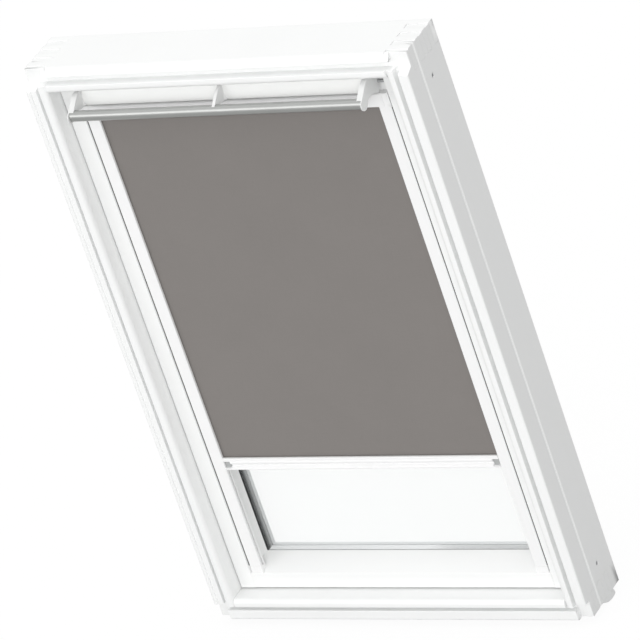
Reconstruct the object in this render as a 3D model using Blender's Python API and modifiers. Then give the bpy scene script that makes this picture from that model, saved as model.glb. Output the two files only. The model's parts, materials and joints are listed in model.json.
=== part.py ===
"""A centre-pivot roof window with a blackout roller blind, built from separate solids.

The window stands upright: X is its width, Y its depth with the room at minus Y, and Z runs up the slope of the
roof. The origin is the middle of the sill's underside, halfway through the frame's depth. Depths are written as
distances behind the frame's front plane and turned into Y by the function at().
"""

import math

import bmesh
import bpy
from mathutils import Matrix, Vector

# Frame: overall sizes and the section that all four members share
FRAME_WIDTH = 0.780
FRAME_HEIGHT = 1.180
FRAME_DEPTH = 0.129
FRAME_MEMBER = 0.043
LIP_WIDTH = 0.0205
LIP_FACE = 0.009
LIP_STEP = 0.002
GROOVE_WIDTH = 0.007
GROOVE_DEPTH = 0.013
NOSE_RADIUS = 0.009
EDGE = 0.0025
SIDE_LINE = 0.0485
SIDE_LINE_CUT = 0.0015

# Frame: head relief, corner blocks, finger joints and feet
HEAD_RELIEF = 0.020
HEAD_LIP_FACE = 0.008
HEAD_LIP_HEIGHT = 0.0145
HEAD_LIP_REACH = 0.008
BLOCK_DROP = 0.030
FOOT_RELIEF = 0.014
FOOT_BLOCK = 0.034
SILL_LIP_REACH = 0.018
FINGER = 0.0142
FINGER_START = 0.0284
FINGER_SHORT = 0.0015
FOOT_DROP = 0.0138
JOINT_GAP = 0.0003

# Sash
SASH_FACE = 0.038
SASH_DEPTH = 0.081
SASH_SIDE_GAP = 0.0015
SASH_END_GAP = 0.0028
SASH_FACE_WIDTH = 0.0305
SASH_RAIL_HEIGHT = 0.0314
BEVEL_REACH = 0.0187
REBATE_CHEEK = 0.0295
VENT_RECESS = 0.014
VENT_SLOT_SIDE = 0.065
VENT_SLOT_HEIGHT = 0.012
VENT_SLOT_RISE = 0.006

# Glazing
PANE = 0.004
PANE_GAP = 0.016
SPACER_WIDTH = 0.009
GASKET = 0.0008
GASKET_LIP = 0.002
EDGE_COVER = 0.017
BEAD_SEAT = 0.0071
BEAD_LEG = 0.0155
BEAD_WALL = 0.002

# Seals
SEAL_WIDTH = 0.0044
SEAL_GROOVE = 0.003
SIDE_SEAL_DEPTH = 0.0065
SIDE_SEAL_PROUD = 0.0011
END_SEAL_PROUD = 0.0018

# Pivots of the sash
PIVOT_PIN = 0.0045
PIVOT_REACH = 0.011
PIVOT_PLATE = (0.033, 0.100)
PIVOT_PLATE_THICKNESS = 0.003
PIN_CLEARANCE = 0.0004

# Ventilation flap and handle
FLAP_AXIS_BEHIND = 0.006
FLAP_AXIS_BELOW_HEAD = 0.027
FLAP_SIDE = 0.0263
FLAP_WALL = 0.003
FLAP_OPEN = math.radians(25)
BRACKET_END = 0.011
END_PLATE = 0.0018
FLARE = (0.0003, 0.0007, 0.0014, 0.0026, 0.0048, 0.0085)
BRACKET_MIDDLE = 0.006
BAR_AXIS_BEFORE = 0.057
BAR_AXIS_BELOW_HEAD = 0.0355
BAR_HALF_DEPTH = 0.009
BAR_HALF_HEIGHT = 0.010
BAR_WALL = 0.0016
FLAP_PIN = 0.003
FLAP_PIN_REACH = 0.008

# Bolt, lock and their keeps
BOLT_RADIUS = 0.004
BOLT_LENGTH = 0.032
BOLT_SIDE = 0.065
BOLT_BEHIND = 0.006
BOLT_TRAVEL = 0.009
BOLT_HOUSING = (0.022, 0.013, 0.022)
BUSH_OUTER = 0.007
BUSH_LENGTH = 0.011
LOCK_CASE = (0.120, 0.014, 0.018)
STRIKER = (0.060, 0.016, 0.002)

# Blind
CASSETTE_HEIGHT = 0.0264
CASSETTE_DEPTH = 0.0355
CASSETTE_WALL = 0.002
CASSETTE_SIDE = 0.0155
CASSETTE_TOP_BELOW_HEAD = 0.050
ROLLER_RADIUS = 0.008
ROLLER_WALL = 0.001
ROLL_RADIUS = 0.0096
ROLLER_AXIS_BEHIND = 0.0185
ROLLER_AXIS_BELOW = 0.014
JOURNAL = 0.003
RAIL_WIDTH = 0.0246
RAIL_DEPTH = 0.014
RAIL_INSET = 0.0034
RAIL_SLOT = 0.0046
RAIL_SLOT_REACH = 0.010
RAIL_CAP = 0.0135
FABRIC = 0.0008
FABRIC_BEHIND = 0.008
FABRIC_IN_SLOT = 0.007
BAR_TOP = 0.3345
BAR_HEIGHT = 0.0265
BAR_DEPTH = 0.013
BAR_CHANNEL = 0.0085
BAR_LIP = 0.0022
GLIDER_REACH = 0.0131
GLIDER_TOP = 0.0093
GLIDER_HEIGHT = 0.014
GLIDER_TONGUE = 0.006

# Covers outside and the stop under the head
COVER = 0.008
COVER_WIDTH = 0.033
COVER_INSET = 0.006
STOP_DEPTH = 0.006
STOP_HEIGHT = 0.010

GAP = 0.0003
ARC_STEPS = 8
ROUND_STEPS = 32

HALF_WIDTH = FRAME_WIDTH / 2
REVEAL = HALF_WIDTH - FRAME_MEMBER
HEAD_UNDERSIDE = FRAME_HEIGHT - FRAME_MEMBER
NOSE_WIDTH = FRAME_MEMBER - LIP_WIDTH - GROOVE_WIDTH
SASH_OUTER = REVEAL - SASH_SIDE_GAP
SASH_INNER = SASH_OUTER - SASH_FACE_WIDTH
SASH_BOTTOM = FRAME_MEMBER + SASH_END_GAP
SASH_TOP = HEAD_UNDERSIDE - SASH_END_GAP
SASH_BACK = SASH_FACE + SASH_DEPTH
GLASS_EDGE_DEPTH = SASH_BACK - BEAD_SEAT - 2 * PANE - PANE_GAP - GASKET - 2 * GAP
BEVEL_DEPTH = GLASS_EDGE_DEPTH - SASH_FACE
VENT_FACE = SASH_FACE + VENT_RECESS
VENT_SLOT_HALF = SASH_INNER - VENT_SLOT_SIDE
OPENING_HALF = SASH_INNER - BEVEL_REACH
REBATE_X = SASH_OUTER - REBATE_CHEEK
RAIL_REBATE = REBATE_CHEEK + GAP
LEDGE = SASH_BOTTOM + SASH_RAIL_HEIGHT
OPENING_BOTTOM = LEDGE + BEVEL_REACH
OPENING_TOP = SASH_TOP - SASH_RAIL_HEIGHT - BEVEL_REACH
PANE_FRONT = GLASS_EDGE_DEPTH + GASKET + 2 * GAP
PANE_HALF = OPENING_HALF + EDGE_COVER
PANE_BOTTOM = OPENING_BOTTOM - EDGE_COVER
PANE_TOP = OPENING_TOP + EDGE_COVER
OUTER_PANE_FRONT = PANE_FRONT + PANE + PANE_GAP
BEAD_FRONT = OUTER_PANE_FRONT + PANE + GAP
PIVOT_DEPTH = SASH_FACE + SASH_DEPTH / 2
PIVOT_HEIGHT = FRAME_HEIGHT / 2
FLAP_AXIS_DEPTH = SASH_FACE + FLAP_AXIS_BEHIND
FLAP_AXIS_HEIGHT = HEAD_UNDERSIDE - FLAP_AXIS_BELOW_HEAD
FLAP_HALF = SASH_INNER - FLAP_SIDE
BAR_AXIS_DEPTH = SASH_FACE - BAR_AXIS_BEFORE
BAR_AXIS_HEIGHT = HEAD_UNDERSIDE - BAR_AXIS_BELOW_HEAD
BOLT_X = SASH_INNER - BOLT_SIDE
BOLT_DEPTH = SASH_FACE + BOLT_BEHIND
CASSETTE_HALF = SASH_INNER - CASSETTE_SIDE
CASSETTE_TOP = HEAD_UNDERSIDE - CASSETTE_TOP_BELOW_HEAD
CASSETTE_BOTTOM = CASSETTE_TOP - CASSETTE_HEIGHT
ROLLER_DEPTH = SASH_FACE + ROLLER_AXIS_BEHIND
ROLLER_HEIGHT = CASSETTE_TOP - ROLLER_AXIS_BELOW
FABRIC_DEPTH = SASH_FACE + FABRIC_BEHIND
RAIL_FRONT = SASH_FACE + 0.001
RAIL_OUTER = SASH_INNER - RAIL_INSET
RAIL_INNER = RAIL_OUTER - RAIL_WIDTH
BAR_HALF = RAIL_INNER - 2 * GAP
END_SEAL_HALF = SASH_OUTER - 2 * SEAL_GROOVE
SIDES = (("left", -1), ("right", 1))


def at(depth):
    """Y of a depth behind the frame's front plane."""
    return depth - FRAME_DEPTH / 2


def bevel_x(depth):
    """X of the sash's slanted inner wall at a depth."""
    return SASH_INNER - BEVEL_REACH * (depth - SASH_FACE) / BEVEL_DEPTH


def ledge_z(depth):
    """Height of the bottom rail's slanted ledge at a depth."""
    return LEDGE + BEVEL_REACH * (depth - SASH_FACE) / BEVEL_DEPTH


def arc(centre, radii, start, end, steps=ARC_STEPS):
    """Points along an arc or an elliptic arc, with its angles in degrees."""
    points = []
    for i in range(steps + 1):
        angle = math.radians(start + (end - start) * i / steps)
        points.append((centre[0] + radii[0] * math.cos(angle), centre[1] + radii[1] * math.sin(angle)))
    return points


def clear_scene():
    """Removes the scene's objects."""
    for obj in list(bpy.data.objects):
        bpy.data.objects.remove(obj, do_unlink=True)


def new_collection(name):
    """A collection linked to the scene."""
    collection = bpy.data.collections.new(name)
    bpy.context.scene.collection.children.link(collection)
    return collection


clear_scene()
PARTS = new_collection("roof_window_with_blind")
CUTTERS = new_collection("cutters")


def material(name, colour, roughness, metallic=0.0, alpha=1.0):
    """A plain material with the finish's colour."""
    made = bpy.data.materials.new(name)
    made.use_nodes = True
    shader = made.node_tree.nodes["Principled BSDF"]
    shader.inputs["Base Color"].default_value = (*colour, 1.0)
    shader.inputs["Roughness"].default_value = roughness
    shader.inputs["Metallic"].default_value = metallic
    shader.inputs["Alpha"].default_value = alpha
    made.diffuse_color = (*colour, alpha)
    return made


WHITE = material("white_lacquer", (0.86, 0.87, 0.86), 0.35)
WHITE_PLASTIC = material("white_plastic", (0.90, 0.91, 0.90), 0.30)
ALUMINIUM = material("anodised_aluminium", (0.62, 0.65, 0.63), 0.35, 0.9)
DARK_COVER = material("grey_cover", (0.18, 0.19, 0.20), 0.45, 0.6)
STEEL = material("zinc_steel", (0.55, 0.56, 0.58), 0.40, 1.0)
RUBBER = material("black_rubber", (0.03, 0.03, 0.03), 0.70)
GLASS = material("clear_glass", (0.90, 0.95, 0.95), 0.02, 0.0, 0.25)
CLOTH = material("blackout_cloth", (0.22, 0.20, 0.18), 0.85)
FOAM = material("filter_foam", (0.30, 0.30, 0.30), 0.95)
GREY_PLASTIC = material("grey_plastic", (0.25, 0.26, 0.27), 0.45)


def body_origin(name, location):
    """An empty that a moving body's pieces hang from, on its joint's axis."""
    empty = bpy.data.objects.new(name, None)
    empty.location = location
    empty.empty_display_size = 0.05
    PARTS.objects.link(empty)
    return empty


FRAME_BODY = body_origin("frame_body", Vector((0, 0, 0)))
SASH_BODY = body_origin("sash_body", Vector((0, at(PIVOT_DEPTH), PIVOT_HEIGHT)))
FLAP_BODY = body_origin("flap_body", Vector((0, at(FLAP_AXIS_DEPTH), FLAP_AXIS_HEIGHT)))
ROLLER_BODY = body_origin("roller_body", Vector((0, at(ROLLER_DEPTH), ROLLER_HEIGHT)))
BLIND_BODY = body_origin("blind_bar_body", Vector((0, at(FABRIC_DEPTH), BAR_TOP)))
BOLT_BODY = body_origin("bolt_body", Vector((BOLT_X, at(BOLT_DEPTH), SASH_TOP)))

AXIS_TURNS = {
    "X": Matrix(((0, 0, 1, 0), (1, 0, 0, 0), (0, 1, 0, 0), (0, 0, 0, 1))),
    "Y": Matrix(((1, 0, 0, 0), (0, 0, -1, 0), (0, 1, 0, 0), (0, 0, 0, 1))),
    "Z": Matrix.Identity(4),
}


def outline_mesh(name, loops, axis, low, high):
    """A flat outline, with any holes as further loops, extruded from low to high along an axis and welded.

    The outline's points are (y, z) along X, (x, z) along Y and (x, y) along Z.
    """
    data = bpy.data.curves.new(name, "CURVE")
    data.dimensions = "2D"
    data.fill_mode = "BOTH"
    data.extrude = (high - low) / 2
    for loop in loops:
        spline = data.splines.new("POLY")
        spline.points.add(len(loop) - 1)
        for point, (u, v) in zip(spline.points, loop):
            point.co = (u, v, 0, 1)
        spline.use_cyclic_u = True
    curve = bpy.data.objects.new(name + "_outline", data)
    bpy.context.scene.collection.objects.link(curve)
    middle = (low + high) / 2
    shift = {"X": (middle, 0, 0), "Y": (0, middle, 0), "Z": (0, 0, middle)}[axis]
    depsgraph = bpy.context.evaluated_depsgraph_get()
    mesh = bpy.data.meshes.new_from_object(curve.evaluated_get(depsgraph))
    mesh.name = name
    mesh.transform(Matrix.Translation(shift) @ AXIS_TURNS[axis])
    bpy.data.objects.remove(curve, do_unlink=True)
    weld(mesh)
    return mesh


def weld(mesh):
    """Joins doubled vertices and turns the faces outwards."""
    work = bmesh.new()
    work.from_mesh(mesh)
    bmesh.ops.remove_doubles(work, verts=work.verts, dist=0.000002)
    bmesh.ops.recalc_face_normals(work, faces=work.faces)
    work.to_mesh(mesh)
    work.free()


def box_mesh(name, low, high):
    """A box between two corners."""
    mesh = bpy.data.meshes.new(name)
    work = bmesh.new()
    bmesh.ops.create_cube(work, size=1.0)
    size = [b - a for a, b in zip(low, high)]
    middle = [(a + b) / 2 for a, b in zip(low, high)]
    bmesh.ops.scale(work, vec=size, verts=work.verts)
    bmesh.ops.translate(work, vec=middle, verts=work.verts)
    work.to_mesh(mesh)
    work.free()
    return mesh


def rod_mesh(name, centre, radius, axis, low, high, steps=ROUND_STEPS):
    """A round rod along an axis; centre holds its two other coordinates, in the order X, Y, Z."""
    mesh = bpy.data.meshes.new(name)
    work = bmesh.new()
    bmesh.ops.create_cone(
        work, cap_ends=True, segments=steps, radius1=radius, radius2=radius, depth=high - low
    )
    work.to_mesh(mesh)
    work.free()
    middle = (low + high) / 2
    place = {
        "X": (middle, centre[0], centre[1]),
        "Y": (centre[0], middle, centre[1]),
        "Z": (centre[0], centre[1], middle),
    }[axis]
    mesh.transform(Matrix.Translation(place) @ AXIS_TURNS[axis])
    return mesh


def add(mesh, body, finish, rounding=0.0):
    """Makes a mesh a named piece of a body, with its own copy of a finish and an optional bevel."""
    obj = bpy.data.objects.new(mesh.name, mesh)
    PARTS.objects.link(obj)
    mesh.transform(Matrix.Translation(-body.location))
    obj.parent = body
    own = finish.copy()
    own.name = f"{mesh.name}_{finish.name}"
    mesh.materials.clear()
    mesh.materials.append(own)
    if rounding:
        bevel = obj.modifiers.new("edges", "BEVEL")
        bevel.width = rounding
        bevel.segments = 2
        bevel.limit_method = "ANGLE"
        bevel.angle_limit = math.radians(40)
    return obj


def join_or_cut(obj, mesh, operation):
    """Adds a Boolean modifier whose other mesh is a hidden guide."""
    guide = bpy.data.objects.new(mesh.name, mesh)
    CUTTERS.objects.link(guide)
    guide.hide_render = True
    guide.display_type = "WIRE"
    boolean = obj.modifiers.new(mesh.name, "BOOLEAN")
    boolean.object = guide
    boolean.operation = operation
    boolean.solver = "EXACT"
    return guide


def cut(obj, mesh):
    """Cuts a mesh out of a piece."""
    return join_or_cut(obj, mesh, "DIFFERENCE")


def join(obj, mesh):
    """Joins a mesh to a piece."""
    return join_or_cut(obj, mesh, "UNION")


def smooth(obj, angle=30):
    """Shades a round piece smooth, with its real edges kept sharp."""
    obj.data.shade_smooth()
    obj.data.set_sharp_from_angle(angle=math.radians(angle))
    return obj


def mirrored(points, sign):
    """An outline whose X is turned to one side."""
    return [(sign * x, y) for x, y in points]


def span(sign, near, far):
    """Low and high X of a stretch from near to far on one side."""
    return (near, far) if sign > 0 else (-far, -near)


def head_fingers():
    """Depth ranges of the head's and sill's fingers, between which the jambs' own fingers stand."""
    ranges = []
    start = FINGER_START
    while start < FRAME_DEPTH:
        end = start + FINGER
        ranges.append((start, end if end + FINGER < FRAME_DEPTH else FRAME_DEPTH))
        start += 2 * FINGER
    return ranges


def jamb_outline():
    """Plan of the right jamb: reveal, rounded nose, lining groove, stepped lip and the line on its outer side."""
    nose_outer = REVEAL + NOSE_WIDTH
    lip_inner = HALF_WIDTH - LIP_WIDTH
    lip_face = HALF_WIDTH - LIP_FACE
    plan = [(REVEAL, FRAME_DEPTH)]
    plan += arc((REVEAL + NOSE_RADIUS, NOSE_RADIUS), (NOSE_RADIUS, NOSE_RADIUS), 180, 270)
    plan += [(nose_outer, 0), (nose_outer, GROOVE_DEPTH), (lip_inner, GROOVE_DEPTH), (lip_inner, LIP_STEP)]
    plan += [(lip_face, LIP_STEP), (lip_face, 0), (HALF_WIDTH - EDGE, 0), (HALF_WIDTH, EDGE)]
    plan += [
        (HALF_WIDTH, SIDE_LINE - SIDE_LINE_CUT),
        (HALF_WIDTH - SIDE_LINE_CUT, SIDE_LINE),
        (HALF_WIDTH, SIDE_LINE + SIDE_LINE_CUT),
        (HALF_WIDTH, FRAME_DEPTH),
    ]
    return [(x, at(depth)) for x, depth in plan]


def jamb_top_relief(sign):
    """The stretch that is cut from a jamb's front at the head, down to a slanted end of its lip."""
    slant = BLOCK_DROP + 0.008
    side = [
        (-0.001, FRAME_HEIGHT + 0.001),
        (-0.001, FRAME_HEIGHT - slant),
        (HEAD_RELIEF / 2, FRAME_HEIGHT - slant + 0.004),
        (HEAD_RELIEF, FRAME_HEIGHT - BLOCK_DROP),
        (HEAD_RELIEF, FRAME_HEIGHT + 0.001),
    ]
    low, high = span(sign, REVEAL + NOSE_WIDTH, HALF_WIDTH + 0.001)
    return [(at(depth), z) for depth, z in side], low, high


def jamb_foot(sign):
    """The rounded foot under a jamb's outer end, in side view."""
    side = [(0.058, -0.002), (0.066, -0.0065)]
    side += [(0.074, -0.0105), (0.084, -0.0130), (0.094, -FOOT_DROP), (0.103, -0.0130)]
    side += [(0.1055, -0.0105), (0.1045, -0.0050), (0.1020, -0.0010), (0.102, -GAP), (0.058, -GAP)]
    low, high = span(sign, REVEAL, HALF_WIDTH)
    return [(at(depth), z) for depth, z in side], low, high


def make_jamb(side, sign):
    """A jamb with its corner blocks, finger joints, foot and the pocket of its pivot plate."""
    name = f"frame_jamb_{side}"
    top = FRAME_HEIGHT - FINGER_SHORT
    jamb = add(outline_mesh(name, [mirrored(jamb_outline(), sign)], "Z", 0, top), FRAME_BODY, WHITE)
    wide_low, wide_high = span(sign, REVEAL - 0.001, HALF_WIDTH + 0.001)
    outline, low, high = jamb_top_relief(sign)
    cut(jamb, outline_mesh(f"{name}_top_relief", [outline], "X", low, high))
    nose_top = FRAME_HEIGHT - LIP_WIDTH - GROOVE_WIDTH
    cut(jamb, box_mesh(
        f"{name}_head_groove",
        (wide_low, at(-0.001), nose_top),
        (wide_high, at(HEAD_RELIEF), FRAME_HEIGHT + 0.001),
    ))
    lip_low, lip_high = span(sign, REVEAL + NOSE_WIDTH, HALF_WIDTH + 0.001)
    cut(jamb, box_mesh(f"{name}_lip_end", (lip_low, at(-0.001), -0.001), (lip_high, at(FOOT_RELIEF), FOOT_BLOCK)))
    cut(jamb, box_mesh(
        f"{name}_sill_groove",
        (wide_low, at(-0.001), -0.001),
        (wide_high, at(FOOT_RELIEF), LIP_WIDTH + GROOVE_WIDTH),
    ))
    for i, (start, end) in enumerate(head_fingers()):
        for tag, z_low, z_high in (
            ("top", HEAD_UNDERSIDE, FRAME_HEIGHT + 0.001),
            ("foot", -0.001, FRAME_MEMBER),
        ):
            cut(jamb, box_mesh(
                f"{name}_{tag}_slot_{i}",
                (wide_low, at(start - JOINT_GAP), z_low),
                (wide_high, at(end + (JOINT_GAP if end < FRAME_DEPTH else 0.001)), z_high),
            ))
    outline, low, high = jamb_foot(sign)
    join(jamb, outline_mesh(f"{name}_foot", [outline], "X", low, high))
    for i, start in enumerate((FINGER_START + 3 * FINGER, FINGER_START + 5 * FINGER)):
        low_y, high_y = at(start + JOINT_GAP), at(start + FINGER - JOINT_GAP)
        if i == 1:
            high_y = at(0.102)
        join(jamb, box_mesh(f"{name}_foot_web_{i}", (low, low_y, -0.004), (high, high_y, 0.004)))
    plate_low, plate_high = span(sign, REVEAL - 0.001, REVEAL + PIVOT_PLATE_THICKNESS + GAP)
    cut(jamb, pivot_box(f"{name}_plate_pocket", plate_low, plate_high, GAP))
    return jamb


def pivot_box(name, low, high, margin):
    """A box the size of a pivot plate, grown by a margin."""
    wide, tall = PIVOT_PLATE
    return box_mesh(
        name,
        (low, at(PIVOT_DEPTH - wide / 2 - margin), PIVOT_HEIGHT - tall / 2 - margin),
        (high, at(PIVOT_DEPTH + wide / 2 + margin), PIVOT_HEIGHT + tall / 2 + margin),
    )


def head_lip_outline():
    """Side view of the head's slanted lip."""
    bottom = FRAME_HEIGHT - HEAD_LIP_HEIGHT
    slant_end = FRAME_HEIGHT - (HEAD_RELIEF - HEAD_LIP_FACE)
    return [
        (HEAD_RELIEF, FRAME_HEIGHT),
        (HEAD_LIP_FACE, slant_end),
        (HEAD_LIP_FACE, bottom),
        (HEAD_RELIEF, bottom),
    ]


def make_head():
    """The head, with its fingers at both ends and its lip running on in front of the jambs."""
    nose_top = FRAME_HEIGHT - LIP_WIDTH - GROOVE_WIDTH
    side = [(FRAME_DEPTH, FRAME_HEIGHT)]
    side += head_lip_outline()
    side += [(HEAD_RELIEF, nose_top), (0, nose_top)]
    side += arc((NOSE_RADIUS, HEAD_UNDERSIDE + NOSE_RADIUS), (NOSE_RADIUS, NOSE_RADIUS), 180, 270)
    side += [(FRAME_DEPTH, HEAD_UNDERSIDE)]
    inner = REVEAL - GAP
    outline = [(at(depth), z) for depth, z in side]
    head = add(outline_mesh("frame_head", [outline], "X", -inner, inner), FRAME_BODY, WHITE)
    for side_name, sign in SIDES:
        low, high = span(sign, inner - 0.002, HALF_WIDTH)
        for i, (start, end) in enumerate(head_fingers()):
            join(head, box_mesh(
                f"head_finger_{side_name}_{i}",
                (low, at(start), HEAD_UNDERSIDE + GAP),
                (high, at(end), FRAME_HEIGHT),
            ))
        low, high = span(sign, inner - 0.002, REVEAL + HEAD_LIP_REACH)
        lip = head_lip_outline()
        lip = [(at(depth - (GAP if depth == HEAD_RELIEF else 0)), z) for depth, z in lip]
        join(head, outline_mesh(f"head_lip_{side_name}", [lip], "X", low, high))
    cut(head, box_mesh(
        "striker_pocket",
        (-STRIKER[0] / 2 - GAP, at(BOLT_DEPTH - STRIKER[1] / 2 - GAP), HEAD_UNDERSIDE - 0.001),
        (STRIKER[0] / 2 + GAP, at(BOLT_DEPTH + STRIKER[1] / 2 + GAP), HEAD_UNDERSIDE + STRIKER[2] + GAP),
    ))
    centre = (BOLT_X, at(BOLT_DEPTH))
    bottom, top = HEAD_UNDERSIDE - 0.001, HEAD_UNDERSIDE + BUSH_LENGTH + GAP
    cut(head, rod_mesh("bush_hole", centre, BUSH_OUTER + GAP, "Z", bottom, top))
    return head


def make_sill():
    """The sill, with its fingers at both ends and its lip running on in front of the jambs."""
    side = [(FRAME_DEPTH, 0), (EDGE, 0), (0, EDGE), (0, LIP_WIDTH), (GROOVE_DEPTH, LIP_WIDTH)]
    side += [(GROOVE_DEPTH, LIP_WIDTH + GROOVE_WIDTH), (0, LIP_WIDTH + GROOVE_WIDTH)]
    side += arc((NOSE_RADIUS, FRAME_MEMBER - NOSE_RADIUS), (NOSE_RADIUS, NOSE_RADIUS), 180, 90)
    side += [(FRAME_DEPTH, FRAME_MEMBER)]
    inner = REVEAL - GAP
    sill = add(
        outline_mesh("frame_sill", [[(at(depth), z) for depth, z in side]], "X", -inner, inner), FRAME_BODY, WHITE
    )
    for side_name, sign in SIDES:
        low, high = span(sign, inner - 0.002, HALF_WIDTH)
        for i, (start, end) in enumerate(head_fingers()):
            join(sill, box_mesh(
                f"sill_finger_{side_name}_{i}", (low, at(start), 0), (high, at(end), FRAME_MEMBER - GAP)
            ))
        low, high = span(sign, inner - 0.002, REVEAL + SILL_LIP_REACH)
        deep = FOOT_RELIEF - GAP
        lip = [(deep, 0), (EDGE, 0), (0, EDGE), (0, LIP_WIDTH), (deep, LIP_WIDTH)]
        join(sill, outline_mesh(
            f"sill_lip_{side_name}", [[(at(depth), z) for depth, z in lip]], "X", low, high
        ))
    return sill


def make_frame_hardware():
    """Stop and seal under the head, exterior covers, striker and bush."""
    stop_low, stop_high = SASH_BACK + 0.003, SASH_BACK + 0.003 + STOP_DEPTH
    half = REVEAL - 2 * GAP
    top = HEAD_UNDERSIDE - GAP
    add(
        box_mesh("head_stop", (-half, at(stop_low), top - STOP_HEIGHT), (half, at(stop_high), top)),
        FRAME_BODY, ALUMINIUM, 0.0005,
    )
    seal = [
        (SASH_BACK + 0.0005, top - 0.006),
        (SASH_BACK + 0.0012, top - 0.0045),
        (stop_low - GAP, top - 0.0035),
        (stop_low - GAP, top - 0.0085),
        (SASH_BACK + 0.0012, top - 0.0075),
    ]
    add(
        outline_mesh("head_stop_seal", [[(at(depth), z) for depth, z in seal]], "X", -half, half),
        FRAME_BODY, RUBBER,
    )
    front, back = FRAME_DEPTH + GAP, FRAME_DEPTH + COVER
    for side, sign in SIDES:
        outer = HALF_WIDTH - COVER_INSET
        plan = [(outer - COVER_WIDTH, front), (outer, front), (outer, front + 0.003)]
        plan += [(outer - 0.004, back), (outer - COVER_WIDTH + 0.002, back), (outer - COVER_WIDTH, back - 0.002)]
        plan = mirrored([(x, at(depth)) for x, depth in plan], sign)
        high = FRAME_HEIGHT - COVER_INSET
        add(outline_mesh(f"frame_cover_{side}", [plan], "Z", COVER_INSET, high), FRAME_BODY, DARK_COVER)
    half = HALF_WIDTH - COVER_INSET - COVER_WIDTH - GAP
    top = FRAME_HEIGHT - COVER_INSET
    for name, low, high in (
        ("frame_cover_top", top - COVER_WIDTH, top),
        ("frame_cover_bottom", COVER_INSET, COVER_INSET + COVER_WIDTH),
    ):
        plan = [(front, low), (back - 0.002, low), (back, low + 0.002), (back, high - 0.004)]
        plan += [(front + 0.003, high), (front, high)]
        add(outline_mesh(name, [[(at(depth), z) for depth, z in plan]], "X", -half, half), FRAME_BODY, DARK_COVER)
    add(
        box_mesh(
            "striker_plate",
            (-STRIKER[0] / 2, at(BOLT_DEPTH - STRIKER[1] / 2), HEAD_UNDERSIDE),
            (STRIKER[0] / 2, at(BOLT_DEPTH + STRIKER[1] / 2), HEAD_UNDERSIDE + STRIKER[2]),
        ),
        FRAME_BODY, STEEL,
    )
    centre = (BOLT_X, at(BOLT_DEPTH))
    bush = add(
        rod_mesh("bolt_bush", centre, BUSH_OUTER, "Z", HEAD_UNDERSIDE, HEAD_UNDERSIDE + BUSH_LENGTH),
        FRAME_BODY, GREY_PLASTIC,
    )
    cut(bush, rod_mesh(
        "bush_bore", centre, BOLT_RADIUS + PIN_CLEARANCE, "Z",
        HEAD_UNDERSIDE - 0.001, HEAD_UNDERSIDE + BUSH_LENGTH + 0.001,
    ))
    smooth(bush)


def make_pivots():
    """Plates of the sash pivots; the frame's plates carry the pins."""
    axis = (at(PIVOT_DEPTH), PIVOT_HEIGHT)
    for side, sign in SIDES:
        low, high = span(sign, REVEAL, REVEAL + PIVOT_PLATE_THICKNESS)
        plate = add(pivot_box(f"pivot_frame_plate_{side}", low, high, 0), FRAME_BODY, STEEL)
        low, high = span(sign, REVEAL - PIVOT_REACH, REVEAL + 0.001)
        join(plate, rod_mesh(f"pivot_pin_{side}", axis, PIVOT_PIN, "X", low, high))
        outer = SASH_OUTER - GAP
        low, high = span(sign, outer - PIVOT_PLATE_THICKNESS, outer)
        plate = add(pivot_box(f"pivot_sash_plate_{side}", low, high, 0), SASH_BODY, STEEL)
        bore = PIVOT_PIN + PIN_CLEARANCE
        cut(plate, rod_mesh(f"pivot_bore_{side}", axis, bore, "X", low - 0.001, high + 0.001))


def stile_outline():
    """Plan of the right stile: slanted inner wall, glazing rebate and the groove of its seal."""
    seal_low = SASH_FACE + SIDE_SEAL_DEPTH
    seal_high = seal_low + SEAL_WIDTH + 2 * GAP
    groove = SASH_OUTER - SEAL_GROOVE
    plan = [(SASH_OUTER, SASH_FACE + 0.001), (SASH_OUTER - 0.001, SASH_FACE), (SASH_INNER, SASH_FACE)]
    plan += [(OPENING_HALF, GLASS_EDGE_DEPTH), (REBATE_X, GLASS_EDGE_DEPTH), (REBATE_X, SASH_BACK)]
    plan += [(SASH_OUTER, SASH_BACK), (SASH_OUTER, seal_high), (groove, seal_high), (groove, seal_low)]
    plan += [(SASH_OUTER, seal_low)]
    return [(x, at(depth)) for x, depth in plan]


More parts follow.
